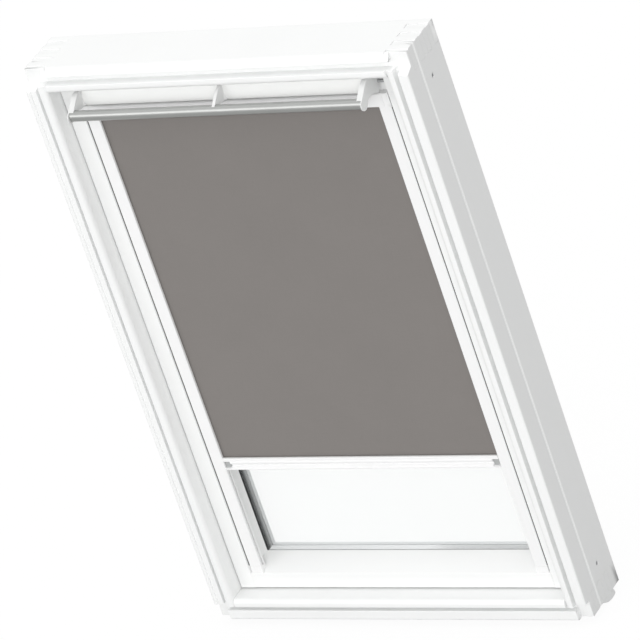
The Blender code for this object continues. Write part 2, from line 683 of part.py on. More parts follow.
def make_stile(side, sign):
    """A stile with the pocket and bore of its pivot and the hole of the flap's pin."""
    name = f"sash_stile_{side}"
    outline = mirrored(stile_outline(), sign)
    stile = add(outline_mesh(name, [outline], "Z", SASH_BOTTOM, SASH_TOP), SASH_BODY, WHITE)
    low, high = span(sign, SASH_OUTER - PIVOT_PLATE_THICKNESS - 2 * GAP, SASH_OUTER + 0.001)
    cut(stile, pivot_box(f"{name}_plate_pocket", low, high, GAP))
    axis = (at(PIVOT_DEPTH), PIVOT_HEIGHT)
    low, high = span(sign, REVEAL - PIVOT_REACH - 0.001, SASH_OUTER)
    cut(stile, rod_mesh(f"{name}_pivot_hole", axis, PIVOT_PIN + 2 * PIN_CLEARANCE, "X", low, high))
    low, high = span(sign, bevel_x(FLAP_AXIS_DEPTH) - 0.004, bevel_x(FLAP_AXIS_DEPTH) + FLAP_PIN_REACH + GAP)
    centre = (at(FLAP_AXIS_DEPTH), FLAP_AXIS_HEIGHT)
    cut(stile, rod_mesh(f"{name}_flap_pin_hole", centre, FLAP_PIN + GAP, "X", low, high, 24))
    low, high = span(sign, OPENING_HALF - 0.005, END_SEAL_HALF + GAP)
    near, far = at(PIVOT_DEPTH - SEAL_WIDTH / 2 - GAP), at(PIVOT_DEPTH + SEAL_WIDTH / 2 + GAP)
    for tag, z_low, z_high in (
        ("bottom", SASH_BOTTOM - 0.001, SASH_BOTTOM + SEAL_GROOVE),
        ("top", SASH_TOP - SEAL_GROOVE, SASH_TOP + 0.001),
    ):
        cut(stile, box_mesh(f"{name}_{tag}_seal_groove", (low, near, z_low), (high, far, z_high)))
    return stile


def stile_cope(name, sign, low, high):
    """The space that a stile takes from a rail between two heights, with the joint's gap."""
    inner = SASH_INNER - GAP
    plan = [(inner, SASH_FACE - 0.008), (inner, SASH_FACE), (OPENING_HALF - GAP, GLASS_EDGE_DEPTH + GAP)]
    plan += [(REBATE_X - GAP, GLASS_EDGE_DEPTH + GAP), (REBATE_X - GAP, SASH_BACK + 0.010)]
    plan += [(HALF_WIDTH, SASH_BACK + 0.010), (HALF_WIDTH, SASH_FACE - 0.008)]
    return outline_mesh(name, [mirrored([(x, at(depth)) for x, depth in plan], sign)], "Z", low, high)


def end_seal_notch(z_face, z_deep):
    """Corners of the groove for a rail's seal, in side view."""
    low = PIVOT_DEPTH - SEAL_WIDTH / 2 - GAP
    high = PIVOT_DEPTH + SEAL_WIDTH / 2 + GAP
    return [(low, z_face), (low, z_deep), (high, z_deep), (high, z_face)]


def make_rails():
    """Bottom and top rails, coped onto the stiles; the top rail holds the ventilation slot."""
    rebate = SASH_BOTTOM + REBATE_CHEEK
    side = [(SASH_FACE + 0.001, SASH_BOTTOM), (SASH_FACE, SASH_BOTTOM + 0.001), (SASH_FACE, LEDGE)]
    side += [(GLASS_EDGE_DEPTH, OPENING_BOTTOM), (GLASS_EDGE_DEPTH, rebate), (SASH_BACK, rebate)]
    side += [(SASH_BACK, SASH_BOTTOM)]
    side += list(reversed(end_seal_notch(SASH_BOTTOM, SASH_BOTTOM + SEAL_GROOVE)))
    outline = [(at(depth), z) for depth, z in side]
    reach = SASH_INNER + 0.010
    bottom = add(outline_mesh("sash_rail_bottom", [outline], "X", -reach, reach), SASH_BODY, WHITE)
    rebate = SASH_TOP - REBATE_CHEEK
    underside = CASSETTE_TOP + GAP
    side = [(VENT_FACE, SASH_TOP)]
    side += end_seal_notch(SASH_TOP, SASH_TOP - SEAL_GROOVE)
    side += [(SASH_BACK, SASH_TOP), (SASH_BACK, rebate), (GLASS_EDGE_DEPTH, rebate)]
    side += [(GLASS_EDGE_DEPTH, OPENING_TOP), (SASH_FACE + CASSETTE_DEPTH + 0.004, OPENING_TOP)]
    side += [(SASH_FACE + CASSETTE_DEPTH + 0.004, underside), (VENT_FACE, underside)]
    outline = [(at(depth), z) for depth, z in side]
    top = add(outline_mesh("sash_rail_top", [outline], "X", -reach, reach), SASH_BODY, WHITE)
    for side_name, sign in SIDES:
        cut(bottom, stile_cope(f"bottom_cope_{side_name}", sign, SASH_BOTTOM - 0.01, OPENING_BOTTOM + 0.01))
        cut(top, stile_cope(f"top_cope_{side_name}", sign, OPENING_TOP - 0.01, SASH_TOP + 0.01))
    slot_low = rebate + VENT_SLOT_RISE
    cut(top, box_mesh(
        "vent_slot",
        (-VENT_SLOT_HALF, at(VENT_FACE - 0.001), slot_low),
        (VENT_SLOT_HALF, at(SASH_BACK + 0.001), slot_low + VENT_SLOT_HEIGHT),
    ))
    add(
        box_mesh(
            "vent_filter",
            (-VENT_SLOT_HALF + GAP, at(VENT_FACE + 0.010), slot_low + GAP),
            (VENT_SLOT_HALF - GAP, at(SASH_BACK - 0.020), slot_low + VENT_SLOT_HEIGHT - GAP),
        ),
        SASH_BODY, FOAM,
    )


def ring_mesh(name, outer, inner, depth_low, depth_high):
    """A rectangular ring in the plane of the glass; outer and inner are (half width, bottom, top)."""
    loops = []
    for half, bottom, top in (outer, inner):
        loops.append([(-half, bottom), (half, bottom), (half, top), (-half, top)])
    return outline_mesh(name, loops, "Y", at(depth_low), at(depth_high))


def make_glazing():
    """Two panes, the spacer between them, the inner gasket and the outer beads."""
    for name, front in (("glass_pane_inner", PANE_FRONT), ("glass_pane_outer", OUTER_PANE_FRONT)):
        low, high = (-PANE_HALF, at(front), PANE_BOTTOM), (PANE_HALF, at(front + PANE), PANE_TOP)
        add(box_mesh(name, low, high), SASH_BODY, GLASS)
    inside = (OPENING_HALF + 0.0007, OPENING_BOTTOM - 0.0007, OPENING_TOP + 0.0007)
    outside = (inside[0] + SPACER_WIDTH, inside[1] - SPACER_WIDTH, inside[2] + SPACER_WIDTH)
    front = PANE_FRONT + PANE
    add(ring_mesh("glass_spacer", outside, inside, front + GAP, front + PANE_GAP - GAP), SASH_BODY, ALUMINIUM)
    lip = (OPENING_HALF - GASKET_LIP, OPENING_BOTTOM + GASKET_LIP, OPENING_TOP - GASKET_LIP)
    edge = (PANE_HALF - 0.001, PANE_BOTTOM + 0.001, PANE_TOP - 0.001)
    front = GLASS_EDGE_DEPTH + GAP
    add(ring_mesh("glazing_gasket", edge, lip, front, front + GASKET), SASH_BODY, RUBBER)
    make_beads()


def make_beads():
    """Beads outside: a leg on the glass and a flange over the sash; the bottom one also covers the corners."""
    leg_back = SASH_BACK + GAP
    inner = PANE_HALF + GAP - BEAD_LEG
    outer = REBATE_X - 2 * GAP
    flange = SASH_OUTER - 0.0025
    back = leg_back + BEAD_WALL
    low_z, high_z = SASH_BOTTOM + REBATE_CHEEK + 2 * GAP, SASH_TOP - REBATE_CHEEK - 2 * GAP
    for side, sign in SIDES:
        plan = [(inner, BEAD_FRONT), (outer, BEAD_FRONT), (outer, leg_back), (flange, leg_back)]
        plan += [(flange, back), (inner, back)]
        plan = mirrored([(x, at(depth)) for x, depth in plan], sign)
        add(outline_mesh(f"glazing_bead_{side}", [plan], "Z", low_z, high_z), SASH_BODY, ALUMINIUM)
    half = inner - GAP
    for name, near, far, edge in (
        ("glazing_bead_bottom", low_z, PANE_BOTTOM + BEAD_LEG - GAP, SASH_BOTTOM + 0.0025),
        ("glazing_bead_top", high_z, PANE_TOP - BEAD_LEG + GAP, high_z + 0.004),
    ):
        side = [(BEAD_FRONT, near), (BEAD_FRONT, far), (back, far), (back, edge), (leg_back, edge)]
        side += [(leg_back, near)]
        outline = [(at(depth), z) for depth, z in side]
        bead = add(outline_mesh(name, [outline], "X", -half, half), SASH_BODY, ALUMINIUM)
        low, high = sorted((edge, near - GAP if name.endswith("bottom") else near + GAP))
        join(bead, box_mesh(f"{name}_corners", (-flange, at(leg_back), low), (flange, at(back), high)))


def make_seals():
    """Seals of the sash: one in each stile's outer face and one in each rail's end face."""
    low = SASH_FACE + SIDE_SEAL_DEPTH + GAP
    high = low + SEAL_WIDTH
    tip = SASH_OUTER + SIDE_SEAL_PROUD
    root = SASH_OUTER - SEAL_GROOVE + GAP
    for side, sign in SIDES:
        plan = [(root, low), (root, high), (SASH_OUTER, high)]
        plan += arc((SASH_OUTER, (low + high) / 2), (tip - SASH_OUTER, SEAL_WIDTH / 2), 90, -90, 6)[1:-1]
        plan += [(SASH_OUTER, low)]
        plan = mirrored([(x, at(depth)) for x, depth in plan], sign)
        add(
            outline_mesh(f"sash_seal_{side}", [plan], "Z", SASH_BOTTOM + 0.002, SASH_TOP - 0.002),
            SASH_BODY, RUBBER,
        )
    half = END_SEAL_HALF
    for name, face, turn in (("sash_seal_bottom", SASH_BOTTOM, -1), ("sash_seal_top", SASH_TOP, 1)):
        root = face - turn * (SEAL_GROOVE - GAP)
        low, high = PIVOT_DEPTH - SEAL_WIDTH / 2, PIVOT_DEPTH + SEAL_WIDTH / 2
        side = [(low, root), (high, root), (high, face)]
        side += arc((PIVOT_DEPTH, face), (SEAL_WIDTH / 2, turn * END_SEAL_PROUD), 0, 180, 6)[1:-1]
        side += [(low, face)]
        outline = [(at(depth), z) for depth, z in side]
        add(outline_mesh(name, [outline], "X", -half, half), SASH_BODY, RUBBER)


def flap_front():
    """The flap's curved room side, from its top to its lower edge: depth behind the sash's face and drop."""
    return [
        (-0.0150, 0.0035), (-0.0170, 0.0075), (-0.0188, 0.0120), (-0.0204, 0.0170), (-0.0217, 0.0220),
        (-0.0227, 0.0270), (-0.0232, 0.0310), (-0.0227, 0.0338), (-0.0210, 0.0354), (-0.0190, 0.0360),
    ]


def below_head(points):
    """An outline given as depth behind the sash's face and height under the head, in world coordinates."""
    return [(at(SASH_FACE + depth), HEAD_UNDERSIDE - drop) for depth, drop in points]


def make_flap():
    """The ventilation flap, a curved shell with a turned-in lower edge."""
    front = flap_front()
    back = [(-0.0118, 0.0360), (-0.0118, 0.0335), (-0.0178, 0.0333), (-0.0197, 0.0318), (-0.0200, 0.0295)]
    back += [(depth + FLAP_WALL, drop) for depth, drop in reversed(front[1:6])]
    back += [(-0.0118, 0.0035)]
    flap = add(
        outline_mesh("vent_flap", [below_head(front + back)], "X", -FLAP_HALF, FLAP_HALF),
        FLAP_BODY, WHITE_PLASTIC,
    )
    smooth(flap)


def bar_outline(grow, start, end, steps):
    """Points round the handle bar's oval, grown by a clearance."""
    radii = (BAR_HALF_DEPTH + grow, BAR_HALF_HEIGHT + grow)
    return arc((at(BAR_AXIS_DEPTH), BAR_AXIS_HEIGHT), radii, start, end, steps)


def flare(bracket, wall, toward):
    """A fillet from a bracket's side onto the flap, which grows downwards; toward is the X it spreads to."""
    stations = []
    for (depth, drop), reach in zip(flap_front()[2:8], FLARE):
        y, z = below_head([(depth - GAP, drop)])[0]
        inside = wall - toward * 0.001
        plan = [(inside, y), (wall + toward * reach, y), (wall + toward * 0.35 * reach, y - 0.30 * reach)]
        plan += [(wall, y - 0.9 * reach), (inside, y - 0.9 * reach)]
        stations.append([(x, depth_y, z) for x, depth_y in plan])
    work = bmesh.new()
    rings = [[work.verts.new(point) for point in station] for station in stations]
    count = len(rings[0])
    for upper, lower in zip(rings, rings[1:]):
        for i in range(count):
            j = (i + 1) % count
            work.faces.new((upper[i], upper[j], lower[j], lower[i]))
    work.faces.new(rings[0])
    work.faces.new(rings[-1])
    bmesh.ops.recalc_face_normals(work, faces=work.faces)
    bmesh.ops.triangulate(work, faces=work.faces)
    mesh = bpy.data.meshes.new(f"{bracket.name}_flare")
    work.to_mesh(mesh)
    work.free()
    join(bracket, mesh)


def make_brackets():
    """End brackets, which cap the bar and carry the flap's pin eyes, and the middle bracket; all sit on the bar."""
    hook = [
        (-0.0240, 0.0055), (-0.0330, 0.0080), (-0.0400, 0.0116), (-0.0480, 0.0168), (-0.0560, 0.0226),
        (-0.0620, 0.0268), (-0.0662, 0.0290), (-0.0688, 0.0326), (-0.0694, 0.0372), (-0.0680, 0.0420),
        (-0.0640, 0.0456), (-0.0585, 0.0472), (-0.0532, 0.0464), (-0.0492, 0.0436), (-0.0464, 0.0402),
        (-0.0415, 0.0368), (-0.0350, 0.0350), (-0.0280, 0.0352), (-0.0200, 0.0374), (-0.0110, 0.0414),
        (0.0000, 0.0450),
    ]
    outline = below_head(hook)
    outline += arc((at(FLAP_AXIS_DEPTH), FLAP_AXIS_HEIGHT), (0.0065, 0.0065), -70, 100)
    outline += below_head([(0.0020, 0.0110), (-0.0050, 0.0055)])
    grip = bar_outline(GAP, 119, 35, 12) + below_head([(-0.0440, 0.0314), (-0.0370, 0.0338), (-0.0300, 0.0356)])
    grip += below_head([(-0.0300, 0.0600), (-0.0850, 0.0600), (-0.0850, 0.0264)])
    centre = (at(FLAP_AXIS_DEPTH), FLAP_AXIS_HEIGHT)
    for side, sign in SIDES:
        near = FLAP_HALF + GAP
        low, high = span(sign, near, near + BRACKET_END)
        bracket = add(
            outline_mesh(f"handle_bracket_{side}", [outline], "X", low, high), FLAP_BODY, WHITE_PLASTIC
        )
        cut(bracket, rod_mesh(
            f"bracket_eye_{side}", centre, FLAP_PIN + PIN_CLEARANCE, "X", low - 0.001, high + 0.001, 24
        ))
        low, high = span(sign, near - 0.001, near + BRACKET_END - END_PLATE)
        cut(bracket, outline_mesh(f"bracket_grip_{side}", [grip], "X", low, high))
        flare(bracket, sign * near, -sign)
        smooth(bracket)
        low, high = span(sign, near + 0.001, bevel_x(FLAP_AXIS_DEPTH) + FLAP_PIN_REACH)
        smooth(add(rod_mesh(f"flap_pin_{side}", centre, FLAP_PIN, "X", low, high, 24), SASH_BODY, STEEL))
    front_edge = [(-0.0185, 0.0050), (-0.0240, 0.0055), (-0.0330, 0.0080), (-0.0400, 0.0116)]
    front_edge += [(-0.0480, 0.0168), (-0.0560, 0.0226), (-0.0614, 0.0262)]
    outline = below_head(front_edge)
    outline += bar_outline(GAP, 119, 35, 12)
    outline += below_head([(-0.0440, 0.0314), (-0.0370, 0.0338), (-0.0300, 0.0350), (-0.0240, 0.0348)])
    outline += below_head([(depth - GAP, drop) for depth, drop in reversed(flap_front()[1:8])])
    half = BRACKET_MIDDLE / 2
    bracket = add(
        outline_mesh("handle_bracket_middle", [outline], "X", -half, half), FLAP_BODY, WHITE_PLASTIC
    )
    for toward in (-1, 1):
        flare(bracket, toward * half, toward)
    smooth(bracket)
    loops = [bar_outline(0, 0, 345, 23), bar_outline(-BAR_WALL, 0, 345, 23)]
    half = FLAP_HALF + BRACKET_END - END_PLATE
    smooth(add(outline_mesh("handle_bar", loops, "X", -half, half), FLAP_BODY, ALUMINIUM))


def make_lock():
    """Lock case, bolt housing and the barrel bolt with its thumb knob."""
    face = VENT_FACE - GAP
    wide, deep, tall = LOCK_CASE
    top = SASH_TOP - 0.003
    case = add(
        box_mesh("lock_case", (-wide / 2, at(face - deep), top - tall), (wide / 2, at(face), top)),
        SASH_BODY, STEEL, 0.001,
    )
    case.data.name = "lock_case"
    wide, deep, tall = BOLT_HOUSING
    low = top - 0.007 - tall
    housing = add(
        box_mesh(
            "bolt_housing",
            (BOLT_X - wide / 2, at(face - deep), low),
            (BOLT_X + wide / 2, at(face), low + tall),
        ),
        SASH_BODY, WHITE_PLASTIC,
    )
    centre = (BOLT_X, at(BOLT_DEPTH))
    cut(housing, rod_mesh(
        "housing_bore", centre, BOLT_RADIUS + PIN_CLEARANCE, "Z", low - 0.001, low + tall + 0.001
    ))
    knob = 0.003
    knob_z = low + 0.005
    cut(housing, box_mesh(
        "knob_slot",
        (BOLT_X - knob - GAP, at(face - deep - 0.001), knob_z - knob - 2 * GAP),
        (BOLT_X + knob + GAP, at(BOLT_DEPTH), knob_z + knob + BOLT_TRAVEL + 2 * GAP),
    ))
    bolt = add(
        rod_mesh("barrel_bolt", centre, BOLT_RADIUS, "Z", SASH_TOP - BOLT_LENGTH, SASH_TOP), BOLT_BODY, STEEL
    )
    join(bolt, rod_mesh(
        "bolt_knob", (BOLT_X, knob_z), knob, "Y", at(face - deep - 0.004), at(BOLT_DEPTH), 24
    ))
    smooth(bolt)


def make_cassette():
    """The blind's cassette, open downwards, with an end cap that follows the stile's slant at each end."""
    front, back = SASH_FACE, SASH_FACE + CASSETTE_DEPTH
    wall = CASSETTE_WALL
    side = [(front, CASSETTE_BOTTOM), (front, CASSETTE_TOP - 0.002), (front + 0.002, CASSETTE_TOP)]
    side += [(back, CASSETTE_TOP), (back, CASSETTE_BOTTOM), (back - 0.006, CASSETTE_BOTTOM)]
    side += [(back - 0.006, CASSETTE_BOTTOM + wall), (back - wall, CASSETTE_BOTTOM + wall)]
    side += [(back - wall, CASSETTE_TOP - wall), (front + wall, CASSETTE_TOP - wall)]
    side += [(front + wall, CASSETTE_BOTTOM)]
    outline = [(at(depth), z) for depth, z in side]
    add(
        outline_mesh("blind_cassette", [outline], "X", -CASSETTE_HALF, CASSETTE_HALF),
        SASH_BODY, WHITE_PLASTIC,
    )
    near = CASSETTE_HALF + GAP
    centre = (at(ROLLER_DEPTH), ROLLER_HEIGHT)
    far = SASH_INNER - 0.0015
    for side_name, sign in SIDES:
        plan = [(near, front), (far, front), (bevel_x(front + 0.004) - 0.0015, front + 0.004)]
        plan += [(bevel_x(back) - 0.0006, back), (near, back)]
        plan = mirrored([(x, at(depth)) for x, depth in plan], sign)
        cap = add(
            outline_mesh(f"cassette_cap_{side_name}", [plan], "Z", CASSETTE_BOTTOM, CASSETTE_TOP),
            SASH_BODY, WHITE_PLASTIC,
        )
        low, high = span(sign, near - 0.001, near + 0.005)
        cut(cap, rod_mesh(f"cap_bore_{side_name}", centre, JOURNAL + PIN_CLEARANCE, "X", low, high, 24))


def turned(name, profile, centre, body, finish, steps=ROUND_STEPS):
    """A turned shape about an axis along X, from its outer profile of (radius, x) points."""
    mesh = bpy.data.meshes.new(name)
    edges = [(i, i + 1) for i in range(len(profile) - 1)]
    if profile[0][0] > 0:
        edges.append((len(profile) - 1, 0))
    mesh.from_pydata([(radius, 0, along) for radius, along in profile], edges, [])
    obj = bpy.data.objects.new(name, mesh)
    PARTS.objects.link(obj)
    screw = obj.modifiers.new("turn", "SCREW")
    screw.steps = steps
    screw.render_steps = steps
    screw.use_merge_vertices = True
    screw.merge_threshold = 0.00001
    screw.use_smooth_shade = True
    obj.parent = body
    obj.rotation_euler = (0, math.pi / 2, 0)
    obj.location = Vector((0, centre[0], centre[1])) - body.location
    own = finish.copy()
    own.name = f"{name}_{finish.name}"
    mesh.materials.append(own)
    return obj


def make_roller():
    """Roller tube, the fabric still wound on it, and a plug with its journal at each end."""
    centre = (at(ROLLER_DEPTH), ROLLER_HEIGHT)
    tube_half = CASSETTE_HALF - 0.0035
    inner = ROLLER_RADIUS - ROLLER_WALL
    tube = [(ROLLER_RADIUS, tube_half), (ROLLER_RADIUS, -tube_half), (inner, -tube_half), (inner, tube_half)]
    turned("roller_tube", tube, centre, ROLLER_BODY, ALUMINIUM)
    roll_half = RAIL_INNER + FABRIC_IN_SLOT
    inner = ROLLER_RADIUS + GAP
    roll = [(ROLL_RADIUS, roll_half), (ROLL_RADIUS, -roll_half), (inner, -roll_half), (inner, roll_half)]
    turned("fabric_roll", roll, centre, ROLLER_BODY, CLOTH)
    for side, sign in SIDES:
        plug = ROLLER_RADIUS - ROLLER_WALL - GAP
        ends = [
            (0, tube_half - 0.016), (plug, tube_half - 0.016), (plug, tube_half + GAP),
            (ROLLER_RADIUS, tube_half + GAP), (ROLLER_RADIUS, tube_half + 0.0015),
            (JOURNAL, tube_half + 0.0015), (JOURNAL, CASSETTE_HALF + 0.0048), (0, CASSETTE_HALF + 0.0048),
        ]
        profile = [(radius, sign * along) for radius, along in ends]
        if sign > 0:
            profile.reverse()
        turned(f"roller_plug_{side}", profile, centre, ROLLER_BODY, GREY_PLASTIC, 24)


def make_blind_rails():
    """Side rails with a slot for the fabric's edge, and the cap on each lower end."""
    slot_low = FABRIC_DEPTH - RAIL_SLOT / 2 + 0.0007
    slot_high = slot_low + RAIL_SLOT
    slot_x = RAIL_INNER + RAIL_SLOT_REACH
    back = RAIL_FRONT + RAIL_DEPTH
    outer = [(RAIL_OUTER, RAIL_FRONT + 0.001), (RAIL_OUTER, RAIL_FRONT + 0.004), (bevel_x(back) - 0.001, back)]
    plan = [(RAIL_INNER, RAIL_FRONT + 0.0008), (RAIL_INNER + 0.0008, RAIL_FRONT)]
    plan += [(RAIL_OUTER - 0.001, RAIL_FRONT)]
    plan += outer
    plan += [(RAIL_INNER, back), (RAIL_INNER, slot_high), (slot_x, slot_high), (slot_x, slot_low)]
    plan += [(RAIL_INNER, slot_low)]
    foot_plan = [(RAIL_INNER, RAIL_FRONT), (RAIL_OUTER - 0.001, RAIL_FRONT)] + outer + [(RAIL_INNER, back)]
    foot = ledge_z(RAIL_FRONT + RAIL_DEPTH)
    cap_top = foot + RAIL_CAP - 0.005
    for side, sign in SIDES:
        outline = mirrored([(x, at(depth)) for x, depth in plan], sign)
        add(
            outline_mesh(f"blind_rail_{side}", [outline], "Z", cap_top + GAP, CASSETTE_BOTTOM - GAP),
            SASH_BODY, ALUMINIUM,
        )
        outline = mirrored([(x, at(depth)) for x, depth in foot_plan], sign)
        cap = add(
            outline_mesh(f"blind_rail_cap_{side}", [outline], "Z", LEDGE - 0.001, cap_top),
            SASH_BODY, WHITE_PLASTIC,
        )
        front, far = RAIL_FRONT - 0.001, back + 0.001
        ledge = [(front, LEDGE - 0.002), (far, LEDGE - 0.002), (far, ledge_z(far) + GAP)]
        ledge += [(front, ledge_z(front) + GAP)]
        low, high = span(sign, RAIL_INNER - 0.001, RAIL_OUTER + 0.001)
        cut(cap, outline_mesh(f"cap_ledge_{side}", [[(at(depth), z) for depth, z in ledge]], "X", low, high))


def make_blind_bar():
    """The fabric, its bottom bar with a channel and a grip lip, and a glider at each end of the bar."""
    bottom = BAR_TOP - BAR_HEIGHT
    floor = BAR_TOP - BAR_CHANNEL
    front = SASH_FACE + 0.0002
    back = front + BAR_DEPTH
    side = [(front + 0.0008, BAR_TOP), (front, BAR_TOP - 0.0008), (front, BAR_TOP - 0.0045)]
    side += [(front + 0.0010, BAR_TOP - 0.0053), (front + 0.0010, BAR_TOP - 0.0097)]
    side += [(front - 0.0002, BAR_TOP - 0.0105), (front - 0.0002, BAR_TOP - 0.0138)]
    side += [(front + 0.0034, BAR_TOP - 0.0172), (front + 0.0034, BAR_TOP - 0.0195)]
    side += [(front - 0.0018, BAR_TOP - 0.0222), (front - 0.0022, BAR_TOP - 0.0236)]
    side += [(front - 0.0018, bottom + 0.0006), (front + 0.0010, bottom), (back, bottom)]
    side += [(back, floor), (front + BAR_LIP, floor), (front + BAR_LIP, BAR_TOP)]
    outline = [(at(depth), z) for depth, z in side]
    bar = add(outline_mesh("blind_bar", [outline], "X", -BAR_HALF, BAR_HALF), BLIND_BODY, WHITE_PLASTIC)
    reach = RAIL_SLOT_REACH - 2 * GAP
    top = BAR_TOP - GLIDER_TOP
    middle = FABRIC_DEPTH + 0.0007
    half = RAIL_SLOT / 2 - 0.0005
    for name, sign in SIDES:
        low, high = span(sign, BAR_HALF - GLIDER_REACH, BAR_HALF + 0.001)
        near, far = at(front - 0.003), at(back - BAR_LIP)
        cut(bar, box_mesh(f"bar_end_{name}", (low, near, top - GLIDER_HEIGHT), (high, far, top)))
        low, high = span(sign, BAR_HALF - GLIDER_REACH + GAP, BAR_HALF)
        near, far = at(front + 0.0040), at(back - BAR_LIP - GAP)
        z_low, z_high = top - GLIDER_HEIGHT + GAP, top - GAP
        glider = add(
            box_mesh(f"bar_glider_{name}", (low, near, z_low), (high, far, z_high)), BLIND_BODY, GREY_PLASTIC
        )
        low, high = span(sign, BAR_HALF - 0.002, RAIL_INNER + reach)
        join(glider, box_mesh(
            f"glider_tongue_{name}", (low, at(middle - half), z_high - GAP - GLIDER_TONGUE),
            (high, at(middle + half), z_high - GAP),
        ))
    half = RAIL_INNER + FABRIC_IN_SLOT
    add(
        box_mesh(
            "blind_fabric",
            (-half, at(FABRIC_DEPTH - FABRIC / 2), floor + GAP),
            (half, at(FABRIC_DEPTH + FABRIC / 2), ROLLER_HEIGHT - 0.001),
        ),
        BLIND_BODY, CLOTH,
    )


def main():
    """Builds every piece of the window and its blind."""
    for side, sign in SIDES:
        make_jamb(side, sign)
    make_head()
    make_sill()
    make_frame_hardware()
    make_pivots()
    for side, sign in SIDES:
        make_stile(side, sign)
    make_rails()
    make_glazing()
    make_seals()
    make_flap()
    make_brackets()
    make_lock()
    make_cassette()
    make_roller()
    make_blind_rails()
    make_blind_bar()
    bpy.context.view_layer.update()


main()
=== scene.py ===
"""Looks of a centre-pivot roof window with a blackout roller blind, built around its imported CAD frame.

The window stands upright: X is its width, minus Y is the room, Z runs up the slope of the roof. Lengths are
in metres. Each sub-assembly is a class that holds its sizes, builds its meshes and dresses them. Each finish
is a frozen dataclass that builds one material. main() makes them in order.
"""

import json
import logging
import math
from collections.abc import Callable, Iterator
from contextlib import contextmanager
from dataclasses import dataclass
from enum import Enum

import bmesh
import bpy
import numpy as np
from mathutils import Matrix, Vector
from mathutils.bvhtree import BVHTree
from mathutils.geometry import intersect_point_line


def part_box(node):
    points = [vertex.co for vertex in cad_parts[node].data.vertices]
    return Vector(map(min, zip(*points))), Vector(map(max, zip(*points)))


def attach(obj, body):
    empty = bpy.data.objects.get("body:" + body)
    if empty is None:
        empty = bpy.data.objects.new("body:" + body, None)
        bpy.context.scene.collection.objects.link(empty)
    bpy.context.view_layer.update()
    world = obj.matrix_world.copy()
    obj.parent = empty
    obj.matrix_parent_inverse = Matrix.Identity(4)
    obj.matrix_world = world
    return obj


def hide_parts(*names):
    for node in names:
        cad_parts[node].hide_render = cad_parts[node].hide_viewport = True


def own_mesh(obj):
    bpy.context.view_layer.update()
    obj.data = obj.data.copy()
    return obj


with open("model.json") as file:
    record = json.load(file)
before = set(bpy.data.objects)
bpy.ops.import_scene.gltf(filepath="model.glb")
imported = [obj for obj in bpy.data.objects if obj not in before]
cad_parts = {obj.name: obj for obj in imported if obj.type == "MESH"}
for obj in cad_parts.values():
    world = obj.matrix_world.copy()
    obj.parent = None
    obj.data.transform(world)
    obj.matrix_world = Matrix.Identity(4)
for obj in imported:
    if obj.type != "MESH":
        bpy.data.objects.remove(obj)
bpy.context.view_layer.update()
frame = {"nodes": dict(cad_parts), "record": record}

log = logging.getLogger("roof_window")

Colour = tuple[float, float, float]
Point = tuple[float, float, float]
Pair = tuple[float, float]
Points = np.ndarray | list[Pair] | tuple[Pair, ...]
Spot = Pair | np.ndarray
Stations = np.ndarray | list[float] | tuple[float, ...]
Mesh = bpy.types.Mesh
Meshes = tuple[Mesh, ...] | list[Mesh]
Object = bpy.types.Object

SIDES = (("left", -1), ("right", 1))

FRONT_PLANE = -0.0645
GAP = 0.0003
PAST = 0.001
NEAR = 0.001
FINE_EDGE = 0.0003
PART_EDGE = 0.0004
COVER_EDGE = 0.0006
TIMBER_EDGE = 0.0009
ROOM_SHARE = 0.35
SHORT_EDGE = 0.016
CONTACT = 0.0006
MERGE = 2e-6
FLAT = math.radians(0.3)
SHARP = math.radians(28)


def at(depth: float | np.ndarray) -> float | np.ndarray:
    """Y of a depth behind the frame's front plane."""
    return depth + FRONT_PLANE


def sided(sign: int, near: float, far: float) -> tuple[float, ...]:
    """X of two distances from the middle, on the side of the sign, in rising order."""
    return tuple(sorted((sign * near, sign * far)))


class Body(Enum):
    """The CAD bodies that new pieces ride on."""

    FRAME = "frame"
    SASH = "sash"
    FLAP = "flap"
    ROLLER = "roller"
    BLIND = "blind"


class Axis(Enum):
    """The direction that a piece is drawn, sawn or brushed along."""

    X = 0
    Y = 1
    Z = 2

    @property
    def others(self) -> list[int]:
        """Numbers of the two other axes."""
        return [number for number in range(3) if number != self.value]

    def stretch(self, along: float, across: float) -> Point:
        """Scales, per metre, of a pattern that is stretched along this axis.

        Args:
            along: scale along the axis.
            across: scale along the two others.

        Returns:
            The three scales.
        """
        scales = [across] * 3
        scales[self.value] = along
        return tuple(scales)


# Shader graphs


def maths_method(operation: str, swapped: bool = False) -> Callable[["Sock", "Sock | float"], "Sock"]:
    """A method of Sock that adds one Math node.

    Args:
        operation: the node's operation.
        swapped: whether the method's argument comes before the socket.

    Returns:
        The method.
    """

    def method(sock: "Sock", other: "Sock | float") -> "Sock":
        """The Math node on the socket and the other value."""
        return sock.maths(operation, *((other, sock) if swapped else (sock, other)))

    return method


